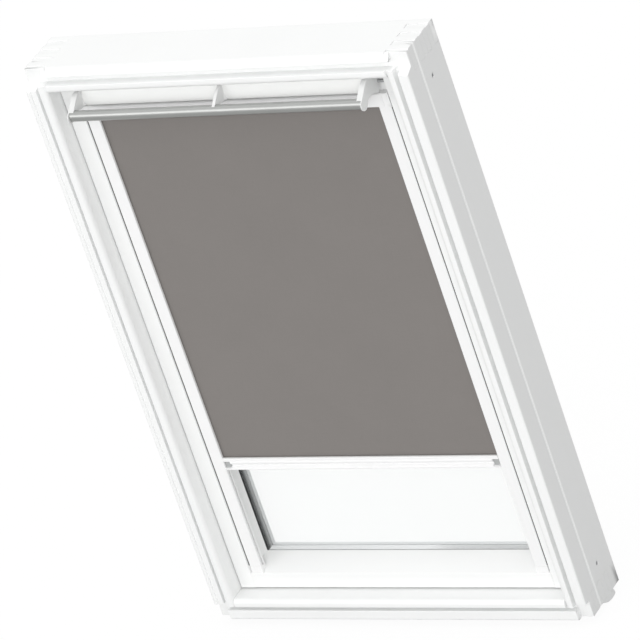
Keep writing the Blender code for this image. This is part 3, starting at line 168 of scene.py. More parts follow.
class Sock:
    """A value socket that Python expressions can work on; each operation adds one Math node."""

    def __init__(self, graph: "Graph", socket: bpy.types.NodeSocket) -> None:
        """Keeps the socket and the graph it belongs to."""
        self.graph = graph
        self.socket = socket

    def maths(self, operation: str, *values: "Sock | float") -> "Sock":
        """One Math node on the given values."""
        return self.graph.add("ShaderNodeMath", {"operation": operation}, dict(enumerate(values)))

    def sibling(self, output: str) -> "Sock":
        """Another output of the same node."""
        return Sock(self.graph, self.socket.node.outputs[output])

    __add__ = maths_method("ADD")
    __radd__ = maths_method("ADD", swapped=True)
    __sub__ = maths_method("SUBTRACT")
    __rsub__ = maths_method("SUBTRACT", swapped=True)
    __mul__ = maths_method("MULTIPLY")
    __rmul__ = maths_method("MULTIPLY", swapped=True)
    __gt__ = maths_method("GREATER_THAN")
    power = maths_method("POWER")
    larger = maths_method("MAXIMUM")

    def __abs__(self) -> "Sock":
        """The absolute value."""
        return self.maths("ABSOLUTE", self)

    def sine(self) -> "Sock":
        """The sine, in radians."""
        return self.maths("SINE", self)


class Graph:
    """A node tree of a material or of the world."""

    def __init__(self, tree: bpy.types.NodeTree) -> None:
        """Empties the tree."""
        self.tree = tree
        tree.nodes.clear()

    def add(
        self,
        kind: str,
        settings: dict[str, object] | None = None,
        inputs: dict[str | int, object] | None = None,
        output: str | int = 0,
    ) -> Sock:
        """Adds one node.

        Args:
            kind: the node's type name.
            settings: properties, set before any socket; "stops" holds a ramp's (position, grey) stops.
            inputs: values or links by the socket's name or number.
            output: which output to hand back.

        Returns:
            The chosen output, or the first input of a node that has none.
        """
        node = self.tree.nodes.new(kind)
        for key, value in (settings or {}).items():
            if key == "stops":
                self._set_stops(node.color_ramp.elements, value)
            else:
                setattr(node, key, value)
        for key, value in (inputs or {}).items():
            self._feed(node.inputs[key], value)
        return Sock(self, node.outputs[output] if node.outputs else node.inputs[0])

    @staticmethod
    def _set_stops(elements: bpy.types.ColorRampElements, stops: list[Pair]) -> None:
        """Places a ramp's grey stops, given as (position, value)."""
        while len(elements) < len(stops):
            elements.new(1.0)
        for element, (position, value) in zip(elements, stops):
            element.position = position
            element.color = (value, value, value, 1.0)

    def _feed(self, socket: bpy.types.NodeSocket, value: object) -> None:
        """Links a Sock to an input, or sets the input's own value."""
        if isinstance(value, Sock):
            self.tree.links.new(value.socket, socket)
        elif isinstance(value, tuple) and len(value) == 3 and socket.type == "RGBA":
            socket.default_value = (*value, 1.0)
        else:
            socket.default_value = value

    def place(self, scales: Point = (1.0, 1.0, 1.0)) -> Sock:
        """Object coordinates times the given scales."""
        where = self.add("ShaderNodeTexCoord", output="Object")
        return self.add("ShaderNodeMapping", {"vector_type": "POINT"}, {"Vector": where, "Scale": scales})

    def split(self, vector: Sock) -> tuple[Sock, Sock, Sock]:
        """X, Y and Z of a vector."""
        x = self.add("ShaderNodeSeparateXYZ", {}, {0: vector})
        return x, x.sibling("Y"), x.sibling("Z")

    def noise(self, vector: Sock, scale: float, detail: float = 2.0, roughness: float = 0.5) -> Sock:
        """Smooth noise from 0 to 1 over a vector."""
        values = {"Vector": vector, "Scale": scale, "Detail": detail, "Roughness": roughness}
        return self.add("ShaderNodeTexNoise", {"noise_dimensions": "3D"}, values, "Fac")

    def cells(self, vector: Sock, scale: float, output: str = "Distance") -> Sock:
        """A Voronoi pattern over a vector."""
        return self.add("ShaderNodeTexVoronoi", {"feature": "F1"}, {"Vector": vector, "Scale": scale}, output)

    def ramp(self, value: Sock, low: Pair, high: Pair) -> Sock:
        """A value sent through two grey stops, each a (position, value)."""
        return self.add("ShaderNodeValToRGB", {"stops": [low, high]}, {"Fac": value})

    def blend(self, first: Colour | Sock, second: Colour | Sock, share: Sock) -> Sock:
        """Two colours mixed by a share from 0, the first, to 1, the second."""
        socks = {0: share, 6: first, 7: second}
        return self.add("ShaderNodeMix", {"data_type": "RGBA", "blend_type": "MIX"}, socks, 2)

    def bump(self, height: Sock, distance: float, normal: Sock | None = None) -> Sock:
        """A normal bent by a height of 0 to 1 times a distance in metres.

        Args:
            height: the height.
            distance: the distance.
            normal: the normal that is bent, or the mesh's own.

        Returns:
            The new normal.
        """
        inputs = {"Height": height, "Distance": distance, "Strength": 1.0}
        if normal is not None:
            inputs["Normal"] = normal
        return self.add("ShaderNodeBump", {}, inputs, "Normal")


@dataclass(frozen=True)
class Finish:
    """A finish: its name, mean colour and mean roughness, and the record's slot for new pieces in it, which
    is not used.
    """

    name: str
    colour: Colour
    roughness: float
    slot: str = ""

    def material(self) -> bpy.types.Material:
        """Makes the finish's material once.

        Returns:
            The material.
        """
        found = bpy.data.materials.get(self.name)
        if found is None:
            found = bpy.data.materials.new(self.name)
            found.use_nodes = True
            graph = Graph(found.node_tree)
            shader = graph.add("ShaderNodeBsdfPrincipled", {}, self.sockets(graph), "BSDF")
            graph.add("ShaderNodeOutputMaterial", {}, {"Surface": shader})
            found.diffuse_color = (*self.colour, 1.0)
        return found

    def sockets(self, graph: Graph) -> dict[str, object]:
        """Values and links for the Principled shader's sockets."""
        return {"Base Color": self.colour, "Roughness": self.roughness}

    def shade(self, factor: float) -> Colour:
        """The mean colour times a factor."""
        return tuple(min(1.0, c * factor) for c in self.colour)


@dataclass(frozen=True)
class WhiteLacquer(Finish):
    """Sprayed white lacquer on pine: orange peel, a breath of grain along the piece and slight mottling.

    Faces further from the middle than the given X are painted greyer: painted shade on the frame's outer
    sides.
    """

    along: Axis = Axis.Z
    shade_beyond: float = 1.0
    outer_side_shade: float = 0.86
    grain_depth: float = 0.000030
    peel_depth: float = 0.000025

    def sockets(self, graph: Graph) -> dict[str, object]:
        """Mottled colour with painted shade on the outer sides, uneven gloss, and grain plus orange peel as
        the bump.

        Args:
            graph: the material's graph.

        Returns:
            What goes into each socket.
        """
        plain = graph.place()
        mottle = graph.noise(plain, 5.0, 3.0)
        grain = graph.noise(graph.place(self.along.stretch(7.0, 330.0)), 1.0, 3.0, 0.6)
        peel = graph.noise(plain, 420.0, 1.0)
        share = graph.ramp(mottle * 0.8 + grain * 0.2, (0.30, 0.0), (0.70, 1.0))
        lacquer = graph.blend(self.shade(0.982), self.shade(1.006), share)
        # painted shade: the frame's outer sides get a greyer colour than its other faces
        outside = abs(graph.split(plain)[0]) > self.shade_beyond
        return {
            "Base Color": graph.blend(lacquer, self.shade(self.outer_side_shade), outside),
            "Roughness": self.roughness - 0.05 + 0.10 * graph.noise(plain, 38.0, 2.0),
            "Normal": graph.bump(peel, self.peel_depth, graph.bump(grain, self.grain_depth)),
            "Specular IOR Level": 0.45,
            "Coat Weight": 0.10,
            "Coat Roughness": 0.20,
        }


@dataclass(frozen=True)
class MouldedPlastic(Finish):
    """Moulded plastic: a fine spark-eroded grain and faint flow marks."""

    grain_depth: float = 0.000020

    def sockets(self, graph: Graph) -> dict[str, object]:
        """Flow marks in the colour, fine grain in gloss and bump.

        Args:
            graph: the material's graph.

        Returns:
            What goes into each socket.
        """
        flow = graph.noise(graph.place((3.0, 30.0, 30.0)), 1.0, 2.0)
        grain = graph.noise(graph.place(), 1600.0, 2.0, 0.7)
        return {
            "Base Color": graph.blend(self.shade(0.985), self.shade(1.005), flow),
            "Roughness": self.roughness - 0.04 + 0.08 * grain,
            "Normal": graph.bump(grain, self.grain_depth),
            "Specular IOR Level": 0.5,
        }


@dataclass(frozen=True)
class PowderCoat(Finish):
    """Powder coat on aluminium or steel: a tight, even texture of small cells, with dust on dark covers."""

    depth: float = 0.000030
    metal: float = 0.0
    dust: float = 0.0
    dust_colour: Colour = (0.46, 0.45, 0.43)

    def sockets(self, graph: Graph) -> dict[str, object]:
        """Small cells in the bump, cloudy gloss, and clouds of dust or of the coat's own tone.

        Args:
            graph: the material's graph.

        Returns:
            What goes into each socket.
        """
        plain = graph.place()
        cloud = graph.noise(plain, 9.0, 4.0, 0.6)
        if self.dust:
            share = graph.ramp(cloud, (0.45, 0.0), (0.80, self.dust))
            tone = graph.blend(self.colour, self.dust_colour, share)
        else:
            tone = graph.blend(self.shade(0.985), self.shade(1.005), cloud)
        return {
            "Base Color": tone,
            "Roughness": self.roughness - 0.05 + 0.12 * cloud,
            "Metallic": self.metal,
            "Normal": graph.bump(graph.cells(plain, 900.0), self.depth),
        }


@dataclass(frozen=True)
class DrawnMetal(Finish):
    """Drawn or anodised aluminium: fine die lines along the piece, and the paler the less bare it is."""

    along: Axis = Axis.X
    depth: float = 0.000012
    spread: float = 0.10
    bare: float = 1.0

    def sockets(self, graph: Graph) -> dict[str, object]:
        """Die lines in the bump and gloss, with slight clouding of the anodised layer.

        Args:
            graph: the material's graph.

        Returns:
            What goes into each socket.
        """
        lines = graph.noise(graph.place(self.along.stretch(2.0, 1400.0)), 1.0, 2.0, 0.7)
        cloud = graph.noise(graph.place(), 14.0, 3.0)
        share = graph.ramp(0.6 * cloud + 0.4 * lines, (0.30, 0.0), (0.70, 1.0))
        return {
            "Base Color": graph.blend(self.shade(0.955), self.shade(1.03), share),
            "Roughness": self.roughness - self.spread / 2 + self.spread * lines,
            "Metallic": self.bare,
            "Normal": graph.bump(lines, self.depth),
        }


@dataclass(frozen=True)
class ZincSteel(Finish):
    """Zinc-plated steel: a faint spangle, soft scratches and a warm stain here and there."""

    stain: Colour = (0.60, 0.58, 0.50)
    scratch_depth: float = 0.000008

    def sockets(self, graph: Graph) -> dict[str, object]:
        """Spangle in the colour, scratches in gloss and bump.

        Args:
            graph: the material's graph.

        Returns:
            What goes into each socket.
        """
        plain = graph.place()
        spangle = graph.ramp(graph.cells(plain, 260.0, "Color"), (0.2, 0.0), (0.8, 1.0))
        scratch = graph.noise(graph.place((900.0, 120.0, 60.0)), 1.0, 3.0, 0.7)
        tint = graph.blend(self.shade(0.90), self.shade(1.08), spangle)
        return {
            "Base Color": graph.blend(tint, self.stain, 0.25 * graph.noise(plain, 60.0, 3.0)),
            "Roughness": self.roughness - 0.06 + 0.14 * scratch,
            "Metallic": 1.0,
            "Normal": graph.bump(scratch, self.scratch_depth),
        }


@dataclass(frozen=True)
class Rubber(Finish):
    """Extruded rubber: matt black with a dusty bloom along its run."""

    pore_depth: float = 0.000015

    def sockets(self, graph: Graph) -> dict[str, object]:
        """A grey bloom in the colour and fine pores in the bump.

        Args:
            graph: the material's graph.

        Returns:
            What goes into each socket.
        """
        plain = graph.place()
        bloom = graph.ramp(graph.noise(plain, 22.0, 4.0, 0.6), (0.40, 0.0), (0.85, 1.0))
        return {
            "Base Color": graph.blend(self.colour, self.shade(2.4), bloom),
            "Roughness": self.roughness - 0.05 + 0.15 * bloom,
            "Normal": graph.bump(graph.noise(plain, 1900.0, 2.0), self.pore_depth),
            "Specular IOR Level": 0.35,
        }


@dataclass(frozen=True)
class ClearGlass(Finish):
    """Float glass: thin, almost clear, with a trace of green and the faintest veil of dust."""

    opacity: float = 0.05

    def sockets(self, graph: Graph) -> dict[str, object]:
        """A barely uneven veil in alpha and gloss.

        Args:
            graph: the material's graph.

        Returns:
            What goes into each socket.
        """
        veil = graph.noise(graph.place(), 4.0, 5.0, 0.65)
        return {
            "Base Color": self.colour,
            "Roughness": self.roughness + 0.02 * veil,
            "Alpha": self.opacity - 0.01 + 0.02 * veil,
            "IOR": 1.52,
            "Specular IOR Level": 0.5,
        }


@dataclass(frozen=True)
class BlackoutWeave(Finish):
    """Blackout cloth in plain weave: warp and weft cross over and under, and vary in thickness and tone."""

    pitch: float = 0.00046
    depth: float = 0.00010

    def sockets(self, graph: Graph) -> dict[str, object]:
        """Threads from the UV map, in metres: one is on top where both sines have the same sign.

        Args:
            graph: the material's graph.

        Returns:
            What goes into each socket.
        """
        unwrapped = graph.add("ShaderNodeUVMap", {"uv_map": "cloth"})
        across, up, _ = graph.split(unwrapped)
        turn = math.pi / self.pitch
        slub = self._slub(graph, unwrapped, (2200.0, 26.0, 1.0))
        slub_weft = self._slub(graph, unwrapped, (26.0, 2200.0, 1.0))
        warp, weft = (across * turn).sine(), (up * turn).sine()
        on_top = warp * weft > 0.0
        height = on_top * abs(warp) + (1 - on_top) * abs(weft)
        tone = 0.30 * height + 0.25 * slub + 0.25 * slub_weft + 0.20 * graph.noise(unwrapped, 7.0, 3.0)
        share = graph.ramp(tone, (0.25, 0.0), (0.75, 1.0))
        return {
            "Base Color": graph.blend(self.shade(0.90), self.shade(1.09), share),
            "Roughness": self.roughness - 0.05 + 0.10 * height,
            "Normal": graph.bump(height + 0.3 * slub + 0.3 * slub_weft, self.depth),
            "Specular IOR Level": 0.25,
            "Sheen Weight": 0.06,
            "Sheen Roughness": 0.5,
        }

    @staticmethod
    def _slub(graph: Graph, vector: Sock, scales: Point) -> Sock:
        """Thick and thin places along the threads, from noise over a vector times the given scales."""
        stretched = graph.add("ShaderNodeVectorMath", {"operation": "MULTIPLY"}, {0: vector, 1: scales})
        return graph.noise(stretched, 1.0, 2.0)


@dataclass(frozen=True)
class OpenFoam(Finish):
    """Open-cell filter foam: pale struts, with painted shade in the pores between them."""

    pore_depth: float = 0.0004

    def sockets(self, graph: Graph) -> dict[str, object]:
        """Two sizes of cells in the bump, and in the colour as painted shade that darkens the pores.

        Args:
            graph: the material's graph.

        Returns:
            What goes into each socket.
        """
        plain = graph.place()
        cells = 0.65 * graph.cells(plain, 700.0) + 0.35 * graph.cells(plain, 1500.0)
        depth = graph.ramp(cells, (0.10, 0.0), (0.60, 1.0))
        return {
            # painted shade: the colour darkens towards the pores
            "Base Color": graph.blend(self.shade(0.35), self.shade(1.25), depth),
            "Roughness": self.roughness,
            "Normal": graph.bump(depth, self.pore_depth),
        }


@dataclass(frozen=True)
class SpacerSteel(Finish):
    """The glazing unit's spacer: bright steel with a row of slits, painted dark on the upright sides as
    painted shade.
    """

    pitch: float = 0.004
    side_x: float = 0.2965
    depths: Pair = (0.0335, 0.0440)
    upright_side_shade: Colour = (0.012, 0.012, 0.013)
    metal: float = 0.35
    steel_share: float = 0.55
    slit_depth: float = 0.00008

    def sockets(self, graph: Graph) -> dict[str, object]:
        """Slits where the run's sine peaks; on the upright sides painted shade fades into the steel with
        depth.

        Args:
            graph: the material's graph.

        Returns:
            What goes into each socket.
        """
        where = graph.place()
        x, y, z = graph.split(where)
        slits = abs(((x + z) * (math.pi / self.pitch)).sine()).power(6.0)
        cloud = graph.noise(where, 300.0, 2.0)
        steel = graph.blend(self.shade(0.94), self.shade(1.05), cloud)
        near, far = self.depths
        # painted shade: dark on the upright sides, fading into the steel with depth
        fade = ((y - near) * (self.steel_share / (far - near))).larger(0.0)
        bare = fade.larger(1.0 - (abs(x) > self.side_x))
        return {
            "Base Color": graph.blend(self.upright_side_shade, steel, bare),
            "Roughness": self.roughness - 0.04 + 0.08 * cloud,
            "Metallic": bare * self.metal,
            "Normal": graph.bump(1.0 - slits, self.slit_depth),
        }


FRAME, OUTER_SIDE = ((0.905, 0.912, 0.908), 0.34, "frame_white"), 0.3892
SASH = ((0.915, 0.920, 0.915), 0.34, "sash_white")
BEAD = ((0.84, 0.85, 0.86), 0.34, "bead_aluminium")
FRAME_UPRIGHT = WhiteLacquer("frame_lacquer_upright", *FRAME, Axis.Z, OUTER_SIDE)
FRAME_ACROSS = WhiteLacquer("frame_lacquer_across", *FRAME, Axis.X, OUTER_SIDE)
SASH_UPRIGHT = WhiteLacquer("sash_lacquer_upright", *SASH, Axis.Z)
SASH_ACROSS = WhiteLacquer("sash_lacquer_across", *SASH, Axis.X)
WHITE_PLASTIC = MouldedPlastic("white_moulded_plastic", (0.900, 0.905, 0.895), 0.36, "white_plastic")
# the brackets' plastic is greyer than the flap's: painted shade for their shaded sides
SHADED_BRACKET_PLASTIC = MouldedPlastic("bracket_plastic_painted_shade", (0.755, 0.760, 0.755), 0.36, "white_plastic")
BLIND_WHITE = MouldedPlastic("blind_white_plastic", (0.915, 0.915, 0.915), 0.38, "blind_white")
GLIDER_PLASTIC = MouldedPlastic("glider_grey_plastic", (0.42, 0.43, 0.43), 0.45)
GREY_PLASTIC = MouldedPlastic("grey_moulded_plastic", (0.25, 0.26, 0.27), 0.48)
RAIL_COAT = PowderCoat("rail_white_coat", (0.90, 0.90, 0.90), 0.40, "rail_white")
COVER_COAT = PowderCoat("cover_grey_coat", (0.135, 0.140, 0.146), 0.46, depth=0.000035, metal=0.15, dust=0.28)
BAR_METAL = DrawnMetal("anodised_bar", (0.425, 0.432, 0.422), 0.35, "bar_aluminium")
ROLLER_METAL = DrawnMetal("roller_mill_aluminium", (0.70, 0.70, 0.69), 0.32)
BEAD_ACROSS = DrawnMetal("bead_aluminium_across", *BEAD, bare=0.15)
BEAD_UPRIGHT = DrawnMetal("bead_aluminium_upright", *BEAD, Axis.Z, bare=0.15)
STOP_METAL = DrawnMetal("stop_mill_aluminium", (0.60, 0.60, 0.60), 0.36)
STEEL = ZincSteel("zinc_plated_steel", (0.55, 0.56, 0.58), 0.36, "steel")
RUBBER = Rubber("black_rubber", (0.022, 0.022, 0.023), 0.70, "rubber")
GLASS = ClearGlass("clear_float_glass", (0.90, 0.96, 0.94), 0.015, "glass")
CLOTH = BlackoutWeave("blackout_cloth", (0.232, 0.216, 0.205), 0.88, "blackout_fabric")
FOAM = OpenFoam("filter_foam", (0.16, 0.16, 0.165), 0.95, "filter_foam")
SPACER = SpacerSteel("spacer_bright_steel", (0.93, 0.94, 0.95), 0.22, "spacer")


# Outlines and meshes


def rectangle(low: Pair, high: Pair) -> np.ndarray:
    """The corners of a rectangle, from its lowest one round to the left of its highest."""
    return np.array([low, (high[0], low[1]), high, (low[0], high[1])])


def arc(centre: Spot, radii: Spot, degrees: np.ndarray) -> np.ndarray:
    """Points of an ellipse at the given angles, which run from its first direction to its second."""
    angle = np.radians(degrees)
    return np.stack([centre[0] + radii[0] * np.cos(angle), centre[1] + radii[1] * np.sin(angle)], axis=1)


def filleted(corners: Points, cut: float, steps: int = 4) -> np.ndarray:
    """A closed outline with rounded corners.

    Each corner C becomes the curve (1-t)^2 A + 2t(1-t) C + t^2 B, where A and B lie on its two edges at the
    cut distance, or at 0.45 of the shorter edge where that is less.

    Args:
        corners: points of the outline, (k, 2).
        cut: distance from each corner at which the rounding starts.
        steps: segments in each rounded corner.

    Returns:
        The rounded outline, (k * (steps + 1), 2).
    """
    corners = np.asarray(corners, float)
    before, after = np.roll(corners, 1, 0) - corners, np.roll(corners, -1, 0) - corners
    long_before = np.linalg.norm(before, axis=1, keepdims=True)
    long_after = np.linalg.norm(after, axis=1, keepdims=True)
    reach = np.minimum(cut, 0.45 * np.minimum(long_before, long_after))
    first = (corners + before / long_before * reach)[:, None]
    last = (corners + after / long_after * reach)[:, None]
    t = np.linspace(0, 1, steps + 1)[None, :, None]
    curve = (1 - t) ** 2 * first + 2 * t * (1 - t) * corners[:, None] + t**2 * last
    return curve.reshape(-1, 2)


def flowing(points: Points, steps: int = 4) -> np.ndarray:
    """A closed curve through points, as Catmull-Rom segments.

    Args:
        points: points of the loop, (k, 2).
        steps: new points for each old one.

    Returns:
        The smooth loop, (k * steps, 2).
    """
    p = np.asarray(points, float)
    a, b, c, d = (np.roll(p, shift, 0)[:, None] for shift in (1, 0, -1, -2))
    t = np.linspace(0, 1, steps, endpoint=False)[None, :, None]
    curve = b + 0.5 * t * (c - a + t * (2 * a - 5 * b + 4 * c - d + t * (3 * (b - c) + d - a)))
    return curve.reshape(-1, 2)


def ring_faces(rings: int, points: int, closed: bool) -> np.ndarray:
    """Quads between neighbouring rings of a grid.

    Args:
        rings: number of rings.
        points: points in each ring, which is a loop.
        closed: whether the last ring joins the first.

    Returns:
        Corner numbers, (faces, 4).
    """
    i, j = np.meshgrid(np.arange(rings if closed else rings - 1), np.arange(points), indexing="ij")
    along, around = (i + 1) % rings, (j + 1) % points
    quads = [i * points + j, i * points + around, along * points + around, along * points + j]
    return np.stack([quad.ravel() for quad in quads], axis=1)


@contextmanager
def edited(mesh: Mesh) -> Iterator[bmesh.types.BMesh]:
    """Opens a mesh for editing, and writes it back at the end.

    Args:
        mesh: the mesh.

    Yields:
        The opened mesh.
    """
    work = bmesh.new()
    work.from_mesh(mesh)
    yield work
    work.to_mesh(mesh)
    work.free()


def mesh_from(vertices: np.ndarray, faces: list[list[int]]) -> Mesh:
    """A mesh with merged doubles and faces that point outwards.

    Args:
        vertices: points, in any shape that ends in 3.
        faces: corner numbers of each face.

    Returns:
        The mesh.
    """
    mesh = bpy.data.meshes.new("shape")
    mesh.from_pydata(vertices.reshape(-1, 3).tolist(), [], faces)
    with edited(mesh) as work:
        bmesh.ops.remove_doubles(work, verts=work.verts, dist=1e-7)
        bmesh.ops.recalc_face_normals(work, faces=work.faces)
    return mesh


def tube_through(rings: np.ndarray, closed: bool = False) -> Mesh:
    """A skin over rings of points, with flat ends unless the rings close on themselves.

    Args:
        rings: points, (rings, points, 3).
        closed: whether the last ring joins the first.

    Returns:
        The closed mesh.
    """
    count, points = rings.shape[:2]
    faces = ring_faces(count, points, closed).tolist()
    if not closed:
        faces += [list(range(points)), list(range((count - 1) * points, count * points))]
    return mesh_from(rings, faces)


def extruded(outline: Points, axis: Axis, stations: Stations, closed: bool = False) -> Mesh:
    """An outline carried along an axis.

    Args:
        outline: (y, z) points along X, (x, z) along Y, (x, y) along Z, for all stations or for each.
        axis: the direction of the run.
        stations: coordinates along the axis, in order.
        closed: whether the last station joins the first.

    Returns:
        The closed mesh.
    """
    outline = np.asarray(outline, float)
    rings = np.empty((len(stations), outline.shape[-2], 3))
    rings[..., axis.value] = np.asarray(stations, float)[:, None]
    rings[..., axis.others] = outline
    return tube_through(rings, closed)


def lathed(profile: list[Pair], centre: Spot, steps: int = 32) -> Mesh:
    """A turned shape: point i of the profile goes round a line along X at its radius.

    Args:
        profile: (radius, along) points, with radius 0 at both ends.
        centre: the line's (y, z).
        steps: divisions of the circle.

    Returns:
        The closed mesh.
    """
    radius, along = np.array(profile).T
    angle = np.linspace(0, 2 * math.pi, steps, endpoint=False)[:, None]
    rings = np.empty((steps, len(profile), 3))
    rings[..., 0] = along
    rings[..., 1] = centre[0] + radius * np.cos(angle)
    rings[..., 2] = centre[1] + radius * np.sin(angle)
    faces = ring_faces(steps, len(profile), True)
    faces = faces[np.ptp(faces % len(profile), axis=1) < 2]
    mesh = mesh_from(rings, faces.tolist())
    with edited(mesh) as work:
        bmesh.ops.dissolve_degenerate(work, edges=work.edges, dist=1e-7)
    return mesh


# Objects


def new_object(name: str, mesh: Mesh) -> Object:
    """An object at the origin that holds a mesh, linked to the scene.

    Args:
        name: the name of the object and of its mesh.
        mesh: what it holds.

    Returns:
        The object.
    """
    mesh.name = name
    made = bpy.data.objects.new(name, mesh)
    bpy.context.scene.collection.objects.link(made)
    return made


def even_shading(obj: Object) -> Object:
    """Smooth shading weighted by face area, so that large faces stay flat.

    Args:
        obj: the object, which gets the modifier.

    Returns:
        The same object.
    """
    obj.data.shade_smooth()
    normals = obj.modifiers.new("even_shading", "WEIGHTED_NORMAL")
    normals.mode = "FACE_AREA"
    normals.weight = 90
    normals.keep_sharp = True
    return obj


def bevelled(obj: Object, width: float, angle: float, segments: int = 2) -> Object:
    """Rounds an object's edges that are sharper than an angle in degrees.

    Args:
        obj: the object, which gets the modifier.
        width: the rounding's width.
        angle: the angle.
        segments: segments across the rounding.

    Returns:
        The same object.
    """
    bevel = obj.modifiers.new("rounded_edges", "BEVEL")
    bevel.width = width
    bevel.segments = segments
    bevel.limit_method = "ANGLE"
    bevel.angle_limit = math.radians(angle)
    return obj


def carved(obj: Object, tools: Meshes) -> None:
    """Cuts meshes out of an object, after its other modifiers, and applies them all.

    Args:
        obj: the object, whose mesh is replaced.
        tools: closed meshes.
    """
    cutters = [new_object(f"{obj.name}_tool_{number}", tool) for number, tool in enumerate(tools)]
    for cutter in cutters:
        boolean = obj.modifiers.new(cutter.name, "BOOLEAN")
        boolean.object = cutter
        boolean.operation = "DIFFERENCE"
        boolean.solver = "EXACT"
    depsgraph = bpy.context.evaluated_depsgraph_get()
    result = bpy.data.meshes.new_from_object(obj.evaluated_get(depsgraph))
    obj.modifiers.clear()
    obj.data = result
    result.name = obj.name
    for cutter in cutters:
        bpy.data.objects.remove(cutter, do_unlink=True)


def merge_flat(mesh: Mesh) -> None:
    """Merges doubled vertices and joins triangles that lie in one plane."""
    with edited(mesh) as work:
        bmesh.ops.remove_doubles(work, verts=work.verts, dist=MERGE)
        bmesh.ops.dissolve_limit(
            work, angle_limit=FLAT, verts=work.verts, edges=work.edges, use_dissolve_boundaries=False
        )


def planed(node: str, name: str, edge: float, cutters: Meshes) -> Object:
    """A copy of a CAD node with its triangles merged into faces and its edges rounded.

    Each edge is rounded by the given radius, or by a share of the room beside it where that is less. An edge
    that meets another CAD node stays sharp, and so does a short one beside it, so that the joint is tight.

    Args:
        node: the CAD node's name.
        name: the new object's name.
        edge: the rounding of wide faces' edges.
        cutters: meshes that are cut out before the edges are rounded.

    Returns:
        The finished object.
    """
    obj = new_object(name, frame["nodes"][node].data.copy())
    merge_flat(obj.data)
    if cutters:
        carved(obj, cutters)
        merge_flat(obj.data)
    others = neighbours(node)
    with edited(obj.data) as work:
        weights = work.edges.layers.float.new("bevel_weight_edge")
        lines = [line for line in work.edges if line.calc_face_angle(0.0) > SHARP]
        tight = {line for line in lines if meets(line, others)}
        corners = {corner for line in tight for corner in line.verts}
        for line in lines:
            beside = line.calc_length() < SHORT_EDGE and not corners.isdisjoint(line.verts)
            line.smooth = line not in tight and not beside
            if line.smooth:
                line[weights] = min(1.0, ROOM_SHARE * face_room(line) / edge)
    bevel = obj.modifiers.new("rounded_edges", "BEVEL")
    bevel.width = edge
    bevel.segments = 3
    bevel.limit_method = "WEIGHT"
    bevel.use_clamp_overlap = False
    return even_shading(obj)


def neighbours(node: str) -> list[BVHTree]:
    """Search trees of the CAD nodes near a node.

    Args:
        node: the CAD node's name.

    Returns:
        One tree for each near node of the same body.
    """
    nodes = next(nodes for nodes in frame["record"]["behaviour"]["bodies"].values() if node in nodes)
    low, high = (np.array(corner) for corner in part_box(node))
    found = []
    for other in nodes:
        other_low, other_high = (np.array(corner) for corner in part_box(other))
        if other != node and np.all(low - NEAR < other_high) and np.all(other_low - NEAR < high):
            mesh = frame["nodes"][other].data
            corners = [vertex.co for vertex in mesh.vertices]
            found.append(BVHTree.FromPolygons(corners, [face.vertices for face in mesh.polygons]))
    return found


def meets(line: bmesh.types.BMEdge, others: list[BVHTree]) -> bool:
    """Whether an edge touches another node at 10, 50 and 90 per cent of its length.

    Args:
        line: the edge.
        others: the other nodes' search trees.

    Returns:
        True where one node is near all three spots.
    """
    start, run = line.verts[0].co, line.verts[1].co - line.verts[0].co
    spots = [start + run * share for share in (0.1, 0.5, 0.9)]
    return any(all(tree.find_nearest(spot, CONTACT)[0] is not None for spot in spots) for tree in others)


def off_line(point: Vector, line: bmesh.types.BMEdge) -> float:
    """Distance from a point to an edge, ends included.

    Args:
        point: the point.
        line: the edge.

    Returns:
        The distance.
    """
    start, end = line.verts[0].co, line.verts[1].co
    share = intersect_point_line(point, start, end)[1]
    return (point - start.lerp(end, min(1.0, max(0.0, share)))).length


def face_room(line: bmesh.types.BMEdge) -> float:
    """Distance from an edge to the nearest other edge of its two faces, at most its length.

    Args:
        line: the edge.

    Returns:
        The distance.
    """
    room = line.calc_length()
    for side in line.link_faces:
        for other in side.edges:
            if other != line:
                room = min([room] + [off_line(v.co, line) for v in other.verts if v not in line.verts])
                if not set(other.verts) & set(line.verts):
                    room = min([room] + [off_line(v.co, other) for v in line.verts])
    return room


def dressed(obj: Object, finish: Finish, body: Body, replaces: str | None = None) -> None:
    """Gives a new piece its finish and its body, and hides the CAD node that it stands for.

    Args:
        obj: the piece, in place.
        finish: what it is covered with.
        body: what it rides on.
        replaces: the CAD node that is hidden behind it.
    """
    obj.data.materials.clear()
    obj.data.materials.append(finish.material())
    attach(obj, body.value)
    if replaces:
        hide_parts(replaces)
    log.info("piece %s on %s, %s", obj.name, body.value, finish.name)


def remade(
    node: str, ending: str, finish: Finish, body: Body, edge: float = TIMBER_EDGE, cutters: Meshes = ()
) -> None:
    """Replaces a CAD node by its planed copy.

    Args:
        node: the CAD node's name, which with the ending names the copy.
        ending: the end of the copy's name.
        finish: what it is covered with.
        body: what it rides on.
        edge: the rounding of wide faces' edges.
        cutters: meshes that are cut out of it.
    """
    dressed(planed(node, f"{node}_{ending}", edge, cutters), finish, body, node)


def refined(node: str, finish: Finish, rounding: float = 0.0) -> None:
    """Keeps a CAD node, with its triangles merged and in a better finish.

    Args:
        node: the CAD node's name.
        finish: what it is covered with.
        rounding: width of its rounded edges; at 0 it keeps the CAD's own shading.
    """
    obj = frame["nodes"][node]
    weld = obj.modifiers.new("merged_corners", "WELD")
    weld.merge_threshold = MERGE
    flat = obj.modifiers.new("merged_faces", "DECIMATE")
    flat.decimate_type = "DISSOLVE"
    flat.angle_limit = FLAT
    if rounding:
        even_shading(bevelled(obj, rounding, 35.0))
    obj.data.materials.clear()
    obj.data.materials.append(finish.material())
    log.info("CAD node %s dressed in %s", node, finish.name)


# Frame


class Fixing(Enum):
    """What sits in a recess of a jamb's outer side: the recess's depth, and its foot's share of its mouth."""

    SCREW = (0.0042, 0.62)
    SMALL_HOLE = (0.0060, 0.80)
    FILLER = (0.0006, 0.70)


